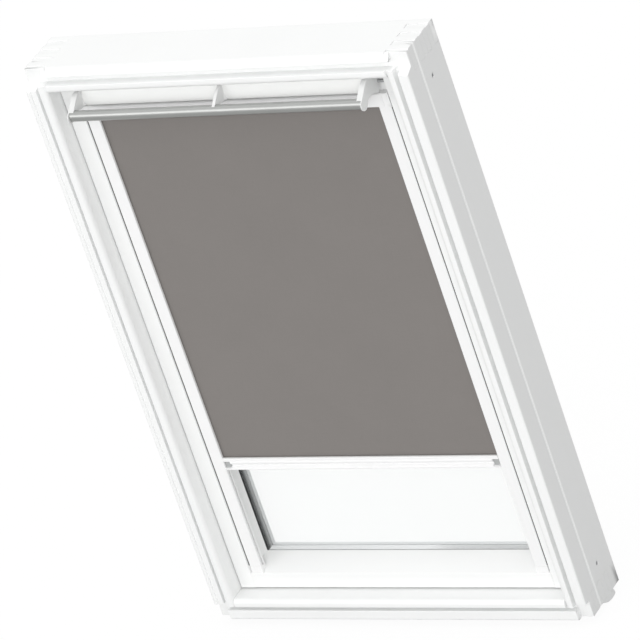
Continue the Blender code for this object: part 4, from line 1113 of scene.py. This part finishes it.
@dataclass
class TimberFrame:
    """The outer frame: four lacquered members with finger joints, and the fixings in their outer sides.

    Each fixing is its kind, its depth behind the front plane, its height and its radius. The groove's points
    are (out of the jamb's side, depth), and a screw head's are (share of the recess's radius, way in).
    """

    half_width: float = 0.390
    fixings: tuple[tuple[Fixing, float, float, float], ...] = (
        (Fixing.SCREW, 0.076, 1.098, 0.0046),
        (Fixing.SCREW, 0.078, 0.072, 0.0046),
        (Fixing.SMALL_HOLE, 0.041, 0.039, 0.0026),
        (Fixing.FILLER, 0.093, 1.158, 0.0034),
        (Fixing.FILLER, 0.074, 1.140, 0.0034),
    )
    groove: tuple[Pair, ...] = (
        (0.001, 0.0425), (0.0, 0.0430), (-0.0014, 0.0448), (0.0, 0.0512), (0.001, 0.0520)
    )
    groove_ends: Pair = (-0.030, 1.200)
    screw_sunk: float = 0.0007
    screw_profile: tuple[Pair, ...] = ((0.0, 0.0), (0.80, 0.0), (0.86, 0.0003), (0.52, 0.0030), (0.0, 0.0030))
    cross_width: float = 0.00095
    cross_depth: float = 0.0015
    cross_reach: float = 0.95
    screw_edge: float = 0.00012

    def recess(self, sign: int, fixing: Fixing, centre: Pair, radius: float) -> Mesh:
        """A round recess in a jamb's side.

        Args:
            sign: the side.
            fixing: what sits in it.
            centre: its (y, z).
            radius: the radius of its mouth.

        Returns:
            The mesh that is cut out.
        """
        deep, narrow = fixing.value
        outer, wall, foot = (sign * (self.half_width + out) for out in (PAST, 0.0, -deep))
        profile = [(0.0, outer), (radius, outer), (radius, wall), (radius * narrow, foot), (0.0, foot)]
        return lathed(profile, centre)

    def build_jamb(self, side: str, sign: int) -> None:
        """A jamb with its groove, recesses, screws and filled holes.

        Args:
            side: the side's name.
            sign: -1 for the left, 1 for the right.
        """
        groove = [(sign * (self.half_width + out), at(depth)) for out, depth in self.groove]
        cutters = [extruded(groove, Axis.Z, self.groove_ends)]
        for fixing, depth, height, radius in self.fixings:
            cutters.append(self.recess(sign, fixing, (at(depth), height), radius))
        remade(f"frame_jamb_{side}", "timber", FRAME_UPRIGHT, Body.FRAME, cutters=cutters)
        for number, (fixing, depth, height, radius) in enumerate(self.fixings):
            if fixing is Fixing.SCREW:
                self.build_screw(f"mounting_screw_{side}_{number}", sign, (at(depth), height), radius)

    def build_screw(self, name: str, sign: int, centre: Pair, radius: float) -> None:
        """A countersunk screw head with a cross recess, just under the jamb's surface.

        Args:
            name: the piece's name.
            sign: the side.
            centre: its (y, z).
            radius: the radius of its recess's mouth.
        """
        face = self.half_width - self.screw_sunk
        cone = [(share * radius, sign * (face - inwards)) for share, inwards in self.screw_profile]
        head = new_object(name, lathed(cone, centre))
        run = sided(sign, face - self.cross_depth, face + PAST)
        slots = []
        reach = radius * self.cross_reach
        for size in ((self.cross_width, reach), (reach, self.cross_width)):
            outline = rectangle((0.0, 0.0), size) - np.array(size) / 2 + centre
            slots.append(extruded(outline, Axis.X, run))
        carved(head, slots)
        dressed(even_shading(bevelled(head, self.screw_edge, 40)), STEEL, Body.FRAME)

    def build_stop_seal(self) -> None:
        """The bulb seal against the head stop, a tube squeezed a little oval."""
        low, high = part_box("head_stop_seal")
        centre = ((low.y + high.y) / 2, (low.z + high.z) / 2)
        radii = ((high.y - low.y) / 2, (high.z - low.z) / 2)
        outline = filleted(arc(centre, radii, np.linspace(0, 360, 24, endpoint=False)), 0.0002, 1)
        seal = new_object("head_stop_bulb_seal", extruded(outline, Axis.X, (low.x, high.x)))
        dressed(even_shading(seal), RUBBER, Body.FRAME, "head_stop_seal")

    def build(self) -> None:
        """Makes the four members, the stop under the head and the covers outside."""
        for side, sign in SIDES:
            self.build_jamb(side, sign)
            refined(f"frame_cover_{side}", COVER_COAT, COVER_EDGE)
            refined(f"pivot_frame_plate_{side}", STEEL, FINE_EDGE)
        for place in ("head", "sill"):
            remade(f"frame_{place}", "timber", FRAME_ACROSS, Body.FRAME)
        for place in ("top", "bottom"):
            refined(f"frame_cover_{place}", COVER_COAT, COVER_EDGE)
        refined("head_stop", STOP_METAL, FINE_EDGE)
        refined("striker_plate", STEEL, FINE_EDGE)
        refined("bolt_bush", GREY_PLASTIC, FINE_EDGE)
        self.build_stop_seal()


# Sash and glazing


@dataclass
class Sash:
    """The pivoting sash: stiles, rails, seals, and the ironmongery let into it."""

    filter_corner: float = 0.0015
    filter_swell: float = 0.006
    filter_end: float = 0.93
    filter_waves: int = 9
    filter_steps: int = 61

    def build(self) -> None:
        """Makes the four members and dresses what is fixed to them."""
        for side, _ in SIDES:
            remade(f"sash_stile_{side}", "timber", SASH_UPRIGHT, Body.SASH)
            refined(f"pivot_sash_plate_{side}", STEEL, FINE_EDGE)
            refined(f"flap_pin_{side}", STEEL, FINE_EDGE)
            refined(f"sash_seal_{side}", RUBBER)
        for place in ("bottom", "top"):
            remade(f"sash_rail_{place}", "timber", SASH_ACROSS, Body.SASH)
        for place in ("top", "bottom"):
            refined(f"sash_seal_{place}", RUBBER)
        refined("lock_case", STEEL)
        refined("bolt_housing", WHITE_PLASTIC, 0.0005)
        refined("barrel_bolt", STEEL, PART_EDGE)
        self.build_filter()

    def build_filter(self) -> None:
        """The ventilation filter: a foam strip whose long faces swell a little between its ends."""
        low, high = (np.array(corner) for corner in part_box("vent_filter"))
        stations = np.linspace(low[0], high[0], self.filter_steps)
        outline = filleted(rectangle(low[1:], high[1:]), self.filter_corner)
        centre = outline.mean(0)
        waves = np.sin(np.linspace(0, self.filter_waves * math.pi, len(stations))) ** 2
        swell = 1.0 - self.filter_swell + self.filter_swell * waves
        swell[[0, -1]] = self.filter_end
        sections = centre + (outline - centre) * swell[:, None, None]
        strip = new_object("vent_filter_foam", extruded(sections, Axis.X, stations))
        dressed(even_shading(strip), FOAM, Body.SASH, "vent_filter")


@dataclass
class Glazing:
    """The insulating glass unit: two panes with seamed edges, the spacer between them, gasket and beads.

    A section's points are (way out from the ring's inner edge, share of the node's depth). Below the glass
    the gasket, the spacer and the bead are lower than in the CAD, as the photo shows nothing dark there.
    """

    seam: float = 0.0005
    corner: float = 0.0015
    spacer_section: tuple[Pair, ...] = (
        (0.0, 0.06), (0.0, 0.94), (0.0022, 1.0), (0.009, 1.0), (0.009, 0.0), (0.0022, 0.0)
    )
    gasket_section: tuple[Pair, ...] = (
        (0.0, 0.35), (0.0, 0.65), (0.0022, 1.0), (0.018, 1.0), (0.018, 0.0), (0.0022, 0.0)
    )
    spacer_drop: float = 0.0026
    gasket_drop: float = 0.0030
    bead_drop: float = 0.0044

    def build_pane(self, node: str) -> None:
        """A pane: a rounded rectangle, drawn in at both faces where the edge is seamed.

        Args:
            node: the CAD node's name.
        """
        low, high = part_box(node)
        outline = filleted(rectangle((low.x, low.z), (high.x, high.z)), self.corner)
        centre = outline.mean(0)
        half = np.abs(outline - centre).max(0)
        inner = centre + (outline - centre) * (1 - self.seam / half)
        stations = (low.y, low.y + self.seam, high.y - self.seam, high.y)
        sections = np.array([inner, outline, outline, inner])
        pane = new_object(f"{node}_float", extruded(sections, Axis.Y, stations))
        dressed(pane, GLASS, Body.SASH, node)

    def build_ring(self, node: str, ending: str, section: np.ndarray, finish: Finish, drop: float) -> None:
        """A section carried round the opening.

        Args:
            node: the CAD node's name, which with the ending names the piece.
            ending: the end of the piece's name.
            section: the section's points.
            finish: what it is covered with.
            drop: how much narrower the ring is below the glass.
        """
        low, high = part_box(node)
        out, share = section.T
        inset = out.max()
        rings = np.empty((4, len(section), 3))
        for ring, (sx, sz) in zip(rings, rectangle((-1, -1), (1, 1))):
            edge_x, edge_z = (high.x if sx > 0 else low.x), (high.z if sz > 0 else low.z)
            ring[:, 0] = edge_x - sx * (inset - out)
            ring[:, 1] = low.y + share * (high.y - low.y)
            ring[:, 2] = edge_z - sz * (inset - out) * (1.0 if sz > 0 else 1.0 - drop / inset)
        made = new_object(f"{node}_{ending}", tube_through(rings, closed=True))
        dressed(even_shading(made), finish, Body.SASH, node)

    def build_bottom_bead(self) -> None:
        """The bead below the glass, cut lower so that the room sees past it over the spacer."""
        node = "glazing_bead_bottom"
        low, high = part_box(node)
        above = rectangle((low.y - PAST, high.z - self.bead_drop), (high.y + PAST, high.z + PAST))
        cutter = extruded(above, Axis.X, (low.x, high.x))
        remade(node, "strip", BEAD_ACROSS, Body.SASH, PART_EDGE, [cutter])

    def build(self) -> None:
        """Makes the panes, the spacer, the gasket and the beads."""
        self.build_pane("glass_pane_inner")
        self.build_pane("glass_pane_outer")
        spacer = filleted(self.spacer_section, 0.0005)
        self.build_ring("glass_spacer", "bar", spacer, SPACER, self.spacer_drop)
        gasket = filleted(self.gasket_section, 0.0003)
        self.build_ring("glazing_gasket", "lip", gasket, RUBBER, self.gasket_drop)
        for place, finish in (("left", BEAD_UPRIGHT), ("right", BEAD_UPRIGHT), ("top", BEAD_ACROSS)):
            refined(f"glazing_bead_{place}", finish, PART_EDGE)
        self.build_bottom_bead()


# Handle


@dataclass
class Handle:
    """The ventilation flap with its three brackets and the grip bar.

    All points are (depth behind the sash's face, drop under the head). The bar's dip is (share of the
    radius, angle, width). Angles are in degrees.
    """

    face: float = 0.038
    head: float = 1.137
    half: float = 0.2887
    end_bracket: float = 0.011
    end_plate: float = 0.0018
    middle_bracket: float = 0.006
    flap_wall: float = 0.003
    bar_radii: Pair = (0.009, 0.010)
    bar_centre: Pair = (-0.057, 0.0355)
    bar_wall: float = 0.0016
    bar_dip: Point = (0.05, 100.0, 4.0)
    bar_end: float = 0.955
    bar_rounding: float = 0.0005
    bar_bore: float = 0.012
    seat_turn: Pair = (119.0, 35.0)
    eye: Pair = (0.006, 0.027)
    eye_radii: Pair = (0.0034, 0.0065)
    eye_turn: Pair = (-70.0, 100.0)
    flare_power: float = 0.62
    flare_out: float = 0.9
    bracket_edge: float = 0.0005
    front: tuple[Pair, ...] = (
        (-0.0150, 0.0035), (-0.0170, 0.0075), (-0.0188, 0.0120), (-0.0204, 0.0170), (-0.0217, 0.0220),
        (-0.0227, 0.0270), (-0.0232, 0.0310), (-0.0227, 0.0338), (-0.0210, 0.0354), (-0.0190, 0.0360),
    )
    back: tuple[Pair, ...] = (
        (-0.0118, 0.0360), (-0.0118, 0.0335), (-0.0178, 0.0333), (-0.0197, 0.0318), (-0.0200, 0.0295)
    )
    flare: tuple[float, ...] = (0.0003, 0.0007, 0.0014, 0.0026, 0.0048, 0.0085)
    hook: tuple[Pair, ...] = (
        (-0.0240, 0.0055), (-0.0330, 0.0080), (-0.0400, 0.0116), (-0.0480, 0.0168), (-0.0560, 0.0226),
        (-0.0620, 0.0268), (-0.0662, 0.0290), (-0.0688, 0.0326), (-0.0694, 0.0372), (-0.0680, 0.0420),
        (-0.0640, 0.0456), (-0.0585, 0.0472), (-0.0532, 0.0464), (-0.0492, 0.0436), (-0.0464, 0.0402),
        (-0.0415, 0.0368), (-0.0350, 0.0350), (-0.0280, 0.0352), (-0.0200, 0.0374), (-0.0110, 0.0414),
        (0.0000, 0.0450),
    )
    hook_top: tuple[Pair, ...] = ((0.0020, 0.0110), (-0.0050, 0.0055))
    grip: tuple[Pair, ...] = (
        (-0.0440, 0.0314), (-0.0370, 0.0338), (-0.0300, 0.0356),
        (-0.0300, 0.0600), (-0.0850, 0.0600), (-0.0850, 0.0264),
    )
    web_top: tuple[Pair, ...] = (
        (-0.0185, 0.0050), (-0.0240, 0.0055), (-0.0330, 0.0080), (-0.0400, 0.0116),
        (-0.0480, 0.0168), (-0.0560, 0.0226), (-0.0614, 0.0262),
    )
    web_under: tuple[Pair, ...] = ((-0.0440, 0.0314), (-0.0370, 0.0338), (-0.0300, 0.0350), (-0.0240, 0.0348))

    def placed(self, points: Points) -> np.ndarray:
        """Points turned into (y, z)."""
        points = np.asarray(points, float)
        return np.stack([at(self.face + points[:, 0]), self.head - points[:, 1]], axis=1)

    def build_flap(self) -> None:
        """The flap: its curved shell's outline carried along X."""
        front = np.array(self.front)
        shell = front[1:6][::-1] + np.array([self.flap_wall, 0.0])
        outline = np.concatenate([front, self.back, shell, [(-0.0118, 0.0035)]])
        outline = filleted(self.placed(outline), 0.0012, 3)
        flap = new_object("vent_flap_shell", extruded(outline, Axis.X, (-self.half, self.half)))
        even_shading(bevelled(flap, PART_EDGE, 60))
        dressed(flap, WHITE_PLASTIC, Body.FLAP, "vent_flap")

    def seat(self) -> np.ndarray:
        """The brackets' seat on the bar: an arc one gap outside the bar's oval, from front to rear."""
        radii = np.array(self.bar_radii) + GAP
        return arc(self.placed([self.bar_centre])[0], radii, np.linspace(*self.seat_turn, 22))

    def fillet(self, wall: float, toward: int) -> Mesh:
        """The hollow fillet from a bracket's side onto the flap.

        At each drop its plan is a quarter of a superellipse, |u|^p + |v|^p = 1, with u along X from the
        bracket's side and v out from the flap; its reach grows downwards from nothing.

        Args:
            wall: X of the bracket's side.
            toward: 1 where the fillet spreads to higher X, else -1.

        Returns:
            The closed mesh, which starts one gap inside the bracket.
        """
        depths, levels = np.array(self.front[2:8]).T
        drops = np.linspace(levels[0], levels[-1], 41)
        depth = np.interp(drops, levels, depths) - GAP
        reach = np.exp(np.interp(drops, levels, np.log(self.flare)))[:, None]
        turn = np.linspace(0, math.pi / 2, 11)[None, :]
        u, v = np.cos(turn) ** (2 / self.flare_power), np.sin(turn) ** (2 / self.flare_power)
        inside = np.full((len(drops), 1), wall - toward * GAP)
        x = np.concatenate([inside, wall + toward * u * reach, inside], axis=1)
        out = np.concatenate([0 * inside, self.flare_out * v * reach, self.flare_out * reach], axis=1)
        y = at(self.face + depth)[:, None] - out
        z = np.broadcast_to(self.head - drops[:, None], x.shape)
        return tube_through(np.stack([x, y, z], axis=-1))

    def finish_bracket(self, bracket: Object, holes: Meshes, fillets: Meshes, node: str) -> None:
        """Rounds a bracket's edges, drills it, adds its fillets and dresses it.

        Args:
            bracket: the bracket.
            holes: meshes that are cut out.
            fillets: closed meshes that join its own.
            node: the CAD node that it stands for.
        """
        carved(bevelled(bracket, self.bracket_edge, 50, 3), holes)
        with edited(bracket.data) as work:
            for fillet in fillets:
                work.from_mesh(fillet)
        dressed(even_shading(bracket), SHADED_BRACKET_PLASTIC, Body.FLAP, node)

    def build_end_bracket(self, side: str, sign: int) -> None:
        """An end bracket: a web that sits on the bar, a plate that hooks round it and the flap's pin eye.

        Args:
            side: the side's name.
            sign: -1 for the left, 1 for the right.
        """
        name = f"handle_bracket_{side}"
        centre = self.placed([self.eye])[0]
        bore, outer = self.eye_radii
        eye = arc(centre, (outer, outer), np.linspace(*self.eye_turn, 9))
        outline = flowing(np.concatenate([self.placed(self.hook), eye, self.placed(self.hook_top)]))
        near = self.half + GAP
        low, high = sided(sign, near, near + self.end_bracket)
        bracket = new_object(f"{name}_hook", extruded(outline, Axis.X, (low, high)))
        room = sided(sign, near - PAST, near + self.end_bracket - self.end_plate)
        grip = np.concatenate([self.seat(), self.placed(self.grip)])
        carved(bracket, [extruded(grip, Axis.X, room)])
        merge_flat(bracket.data)
        low, high = low - PAST, high + PAST
        hole = lathed([(0.0, low), (bore, low), (bore, high), (0.0, high)], centre)
        self.finish_bracket(bracket, [hole], [self.fillet(sign * near, -sign)], name)

    def build_middle_bracket(self) -> None:
        """The middle bracket, a web between the flap and the bar."""
        wall = np.array(self.front[1:8][::-1]) - np.array([GAP, 0.0])
        edges = [self.placed(self.web_top), self.seat(), self.placed(self.web_under), self.placed(wall)]
        outline = filleted(np.concatenate(edges), 0.0006, 2)
        half = self.middle_bracket / 2
        web = new_object("handle_bracket_middle_web", extruded(outline, Axis.X, (-half, half)))
        fillets = [self.fillet(sign * half, sign) for _, sign in SIDES]
        self.finish_bracket(web, [], fillets, "handle_bracket_middle")

    def build_bar(self) -> None:
        """The grip bar: a drawn oval tube whose radius dips in a shallow groove along its upper front."""
        centre = self.placed([self.bar_centre])[0]
        degrees = np.linspace(0, 360, 96, endpoint=False)
        dip, middle, width = self.bar_dip
        radius = 1.0 - dip * np.exp(-(((degrees - middle) / width) ** 2))
        outer = arc((0.0, 0.0), self.bar_radii, degrees) * radius[:, None]
        inner = outer * (1 - self.bar_wall / np.array(self.bar_radii))
        end, rounding, bore = self.half + self.end_bracket - self.end_plate, self.bar_rounding, self.bar_bore
        stations = [-end, rounding - end, end - rounding, end, end, end - bore, bore - end, -end]
        drawn_in = self.bar_end * outer
        skin = np.array([drawn_in, outer, outer, drawn_in] + [inner] * 4) + centre
        bar = new_object("handle_bar_grip", extruded(skin, Axis.X, stations, closed=True))
        dressed(even_shading(bar), BAR_METAL, Body.FLAP, "handle_bar")

    def build(self) -> None:
        """Makes the flap, the brackets and the bar."""
        self.build_flap()
        for side, sign in SIDES:
            self.build_end_bracket(side, sign)
        self.build_middle_bracket()
        self.build_bar()


# Blind


@dataclass
class Blind:
    """The roller blind: cassette, side rails, roller with wound cloth, the stretched cloth and its bar."""

    slide: str = "blind_slide"
    keep: float = 0.018
    cloth_depth: float = 0.046
    cloth_thickness: float = 0.00035
    backing_gap: float = 0.00008
    cloth_bow: float = 0.00006
    cloth_waves: float = 31.0
    cloth_grid: tuple[int, int] = (41, 61)
    cloth_top: float = 1.072
    roller_centre: Pair = (-0.008, 1.073)
    roll_radii: Pair = (0.0083, 0.0096)
    roll_layer: float = 0.0004
    roll_share: float = 0.88
    roll_steps: int = 48
    bar_front: float = 0.0382
    bar_back: float = 0.0512
    bar_top: float = 0.3345
    bar_half: float = 0.2864
    bar_drop: float = 0.0265
    channel_drop: float = 0.0085
    end_reach: float = 0.0131
    bar_edge: float = 0.0002
    gap_shade_section: tuple[Pair, ...] = ((0.0, 0.0405), (0.0021, 0.0405), (0.0020, 0.0409), (0.0, 0.0409))
    gap_shade_short: float = 0.002

    def unwrapped(self, obj: Object, across: np.ndarray, up: np.ndarray) -> None:
        """Shades a cloth and writes its UV map in metres, which the weave follows.

        Args:
            obj: the cloth.
            across: each vertex's place across the cloth.
            up: each vertex's place along it.
        """
        obj.data.shade_smooth()
        obj.data.set_sharp_from_angle(angle=math.radians(40))
        layer = obj.data.uv_layers.new(name="cloth")
        corners = np.empty(len(obj.data.loops), int)
        obj.data.loops.foreach_get("vertex_index", corners)
        layer.data.foreach_set("uv", np.stack([across[corners], up[corners]], axis=1).ravel())

    def build_cloth(self, name: str, body: Body, front: float, replaces: str | None) -> None:
        """One layer of the stretched cloth: a thin grid with a closed rim.

        Args:
            name: the piece's name.
            body: what it rides on.
            front: Y of its front.
            replaces: the CAD node that it stands for.
        """
        low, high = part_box("blind_fabric")
        columns, rows = self.cloth_grid
        x, z = np.meshgrid(np.linspace(low.x, high.x, columns), np.linspace(low.z, high.z, rows))
        skin = np.stack([x, front + self.cloth_bow * np.sin(self.cloth_waves * x), z], axis=-1).reshape(-1, 3)
        back = skin + np.array([0.0, self.cloth_thickness, 0.0])
        number = np.arange(rows * columns).reshape(rows, columns)
        cells = [number[:-1, :-1], number[:-1, 1:], number[1:, 1:], number[1:, :-1]]
        quads = np.stack(cells, axis=-1).reshape(-1, 4)
        rim = np.concatenate([number[0], number[1:, -1], number[-1, -2::-1], number[-2:0:-1, 0]])
        after = np.roll(rim, -1)
        sides = np.stack([rim, rim + number.size, after + number.size, after], axis=-1)
        faces = np.concatenate([quads, quads[:, ::-1] + number.size, sides])
        sheet = new_object(name, mesh_from(np.concatenate([skin, back]), faces.tolist()))
        points = np.array([vertex.co for vertex in sheet.data.vertices])
        self.unwrapped(sheet, points[:, 0], points[:, 2])
        dressed(sheet, CLOTH, body, replaces)
        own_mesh(sheet)

    def build_roll(self) -> None:
        """The cloth still wound on the tube: its radius grows evenly with the angle, one layer a turn."""
        low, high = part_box("fabric_roll")
        inner, outer = self.roll_radii
        turns = (outer - inner) / self.roll_layer
        angle = np.linspace(0, 2 * math.pi * turns, int(self.roll_steps * turns) + 1)
        radius = inner + self.roll_layer * angle / (2 * math.pi)
        thick = self.roll_share * self.roll_layer
        circle = np.stack([np.cos(angle), np.sin(angle)], axis=1)
        band = np.concatenate([circle * (radius - thick)[:, None], (circle * radius[:, None])[::-1]])
        band = band + np.array(self.roller_centre)
        roll = new_object("cloth_roll", extruded(band, Axis.X, np.linspace(low.x, high.x, 9)))
        points = np.array([vertex.co for vertex in roll.data.vertices])
        y, z = (points[:, 1:] - self.roller_centre).T
        self.unwrapped(roll, points[:, 0], np.arctan2(z, y) * outer)
        dressed(roll, CLOTH, Body.ROLLER, "fabric_roll")
        middle = (radius[1:] + radius[:-1] - thick) / 2
        flat = (float(high.x - low.x), float(np.sum(middle * np.diff(angle))))

    def build_bar(self) -> None:
        """The bottom bar: an extruded section with a channel for the cloth, a finger lip and end recesses."""
        front, back, top, bottom = self.bar_front, self.bar_back, self.bar_top, self.bar_top - self.bar_drop
        floor = top - self.channel_drop
        section = [
            (front + 0.0012, top - 0.0026), (front, top - 0.0036), (front, top - 0.0066),
            (front + 0.0014, top - 0.0073), (front + 0.0014, top - 0.0086), (front + 0.0001, top - 0.0096),
            (front - 0.0004, top - 0.0115), (front + 0.0004, top - 0.0140), (front + 0.0048, top - 0.0186),
            (front + 0.0048, top - 0.0200), (front - 0.0018, top - 0.0224),
            (front - 0.0022, top - 0.0236), (front - 0.0018, bottom + 0.0006), (front + 0.0010, bottom),
            (back, bottom), (back, floor), (front + 0.0050, floor), (front + 0.0050, top - 0.0026),
        ]
        outline = filleted([(at(depth), z) for depth, z in section], 0.0004, 3)
        ends = (-self.bar_half, self.bar_half)
        bar = new_object("blind_bar_profile", extruded(outline, Axis.X, ends))
        low, high = (at(front - 0.003), top - 0.0233), (at(back - 0.0022), top - 0.0093)
        recess = filleted(rectangle(low, high), 0.0008, 3)
        recesses = []
        for side, sign in SIDES:
            run = sided(sign, self.bar_half - self.end_reach, self.bar_half + PAST)
            recesses.append(extruded(recess, Axis.X, run))
            refined(f"bar_glider_{side}", GLIDER_PLASTIC, PART_EDGE)
        carved(bar, recesses)
        even_shading(bevelled(bar, self.bar_edge, 60))
        dressed(bar, BLIND_WHITE, Body.BLIND, "blind_bar")

    def build_gap_shade_strip(self, side: str, sign: int) -> None:
        """A black strip in the gap between a side rail and the stile, just behind their faces: a dark piece
        put there as painted shade.

        Args:
            side: the side's name.
            sign: -1 for the left, 1 for the right.
        """
        low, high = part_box(f"blind_rail_{side}")
        rail_edge = max(abs(low.x), abs(high.x)) + 0.0001
        section = [(sign * (rail_edge + out), at(depth)) for out, depth in self.gap_shade_section]
        outline = filleted(section, 0.0001, 2)
        stations = (low.z + self.gap_shade_short, high.z - self.gap_shade_short)
        # a black strip that stands in for the shade in the gap
        lip = new_object(f"rail_light_trap_{side}", extruded(outline, Axis.Z, stations))
        dressed(even_shading(lip), RUBBER, Body.SASH)

    def build(self) -> None:
        """Makes the whole blind."""
        for side, sign in SIDES:
            self.build_gap_shade_strip(side, sign)
            remade(f"blind_rail_{side}", "part", RAIL_COAT, Body.SASH, COVER_EDGE)
            for place in ("blind_rail_cap", "cassette_cap"):
                remade(f"{place}_{side}", "part", BLIND_WHITE, Body.SASH, COVER_EDGE)
            refined(f"roller_plug_{side}", GREY_PLASTIC, FINE_EDGE)
        remade("blind_cassette", "part", BLIND_WHITE, Body.SASH, COVER_EDGE)
        refined("roller_tube", ROLLER_METAL)
        self.build_roll()
        self.build_bar()
        face = at(self.cloth_depth) - self.cloth_thickness - self.backing_gap / 2
        self.build_cloth("blind_cloth_face", Body.SASH, face, "blind_fabric")
        face += self.cloth_thickness + self.backing_gap
        self.build_cloth("blind_cloth_lining", Body.BLIND, face, None)


# Studio


@dataclass
class Studio:
    """Floor, world, lamps and the camera that stands where the photograph was taken from.

    Each lamp is its name, a vector that gives its direction and, by its length, its strength, and its angle.
    """

    floor_height: float = -0.0138
    floor_half: float = 14.0
    floor_grey: float = 0.55
    floor_glow: float = 1.05
    ambient: float = 0.74
    lamps: tuple[tuple[str, Point, float], ...] = (
        ("key_from_left", (0.18, 0.30, -0.10), 30.0),
        ("front_from_right", (-0.40, 0.89, -0.28), 40.0),
        ("top_light", (0.0, 0.02, -0.64), 40.0),
    )
    eye: Point = (6.0777, -8.6293, 6.1187)
    right: Point = (0.85977302, 0.41783539, -0.29360507)
    down: Point = (-0.01949422, -0.54766104, -0.83647317)
    forward: Point = (-0.51030415, 0.72490067, -0.46271881)
    focal_pixels: float = 6677.31
    picture: int = 640
    sensor: float = 36.0

    def seen_directly(self, graph: Graph, in_gloss: float = 1.0) -> Sock:
        """1 for rays from the camera and through glass, the given share for rays from gloss, else 0.

        Args:
            graph: the tree that gets the nodes.
            in_gloss: the share.

        Returns:
            The value.
        """
        path = graph.add("ShaderNodeLightPath", output="Is Camera Ray")
        gloss, through = path.sibling("Is Glossy Ray"), path.sibling("Is Transmission Ray")
        return path.larger(gloss * in_gloss).larger(through)

    def build_world(self) -> None:
        """White to whoever looks at it, and a plain even light on everything else."""
        world = bpy.data.worlds.new("studio")
        world.use_nodes = True
        bpy.context.scene.world = world
        graph = Graph(world.node_tree)
        lit, seen = (
            graph.add("ShaderNodeBackground", {}, {"Color": (1.0, 1.0, 1.0), "Strength": strength})
            for strength in (self.ambient, 1.0)
        )
        both = graph.add("ShaderNodeMixShader", {}, {0: self.seen_directly(graph), 1: lit, 2: seen})
        graph.add("ShaderNodeOutputWorld", {}, {"Surface": both})

    def build_floor(self) -> None:
        """A pale floor that keeps a faint shadow."""
        half = self.floor_half
        points = [(x, y, self.floor_height) for x, y in rectangle((-half, -half), (half, half))]
        mesh = bpy.data.meshes.new("floor")
        mesh.from_pydata(points, [], [[0, 1, 2, 3]])
        floor = new_object("studio_floor", mesh)
        material = bpy.data.materials.new("studio_floor_paint")
        material.use_nodes = True
        graph = Graph(material.node_tree)
        paint = graph.add("ShaderNodeBsdfDiffuse", {}, {"Color": (self.floor_grey,) * 3})
        glow = graph.add("ShaderNodeEmission", {}, {"Color": (1.0, 1.0, 1.0), "Strength": self.floor_glow})
        share = self.seen_directly(graph, 0.30) * 0.90
        both = graph.add("ShaderNodeMixShader", {}, {0: share, 1: paint, 2: glow})
        graph.add("ShaderNodeOutputMaterial", {}, {"Surface": both})
        floor.data.materials.append(material)

    def build_lamps(self) -> None:
        """Wide, soft lamps."""
        for name, towards, spread in self.lamps:
            light = bpy.data.lights.new(name, "SUN")
            light.energy = Vector(towards).length
            light.angle = math.radians(spread)
            lamp = bpy.data.objects.new(name, light)
            lamp.rotation_mode = "QUATERNION"
            lamp.rotation_quaternion = Vector(towards).to_track_quat("-Z", "Y")
            bpy.context.scene.collection.objects.link(lamp)

    def build_camera(self) -> None:
        """The camera, from its fitted place, axes and focal length in pixels."""
        data = bpy.data.cameras.new("photo_camera")
        data.sensor_width = self.sensor
        data.lens = self.focal_pixels * self.sensor / self.picture
        data.clip_start, data.clip_end = 0.5, 100.0
        camera = bpy.data.objects.new("photo_camera", data)
        axes = np.array([self.right, -np.array(self.down), -np.array(self.forward)]).T
        place = Matrix(axes.tolist()).to_4x4()
        place.translation = Vector(self.eye)
        camera.matrix_world = place
        bpy.context.scene.collection.objects.link(camera)
        bpy.context.scene.camera = camera

    def build(self) -> None:
        """Sets up the whole studio."""
        bpy.context.scene.view_settings.view_transform = "Standard"
        self.build_world()
        self.build_floor()
        self.build_lamps()
        self.build_camera()


def main() -> None:
    """Builds the studio and every sub-assembly, in order."""
    logging.basicConfig(level=logging.INFO, format="%(message)s")
    for part in (Studio(), TimberFrame(), Sash(), Glazing(), Handle(), Blind()):
        part.build()
        log.info("%s done", type(part).__name__)


if __name__ == "__main__":
    main()
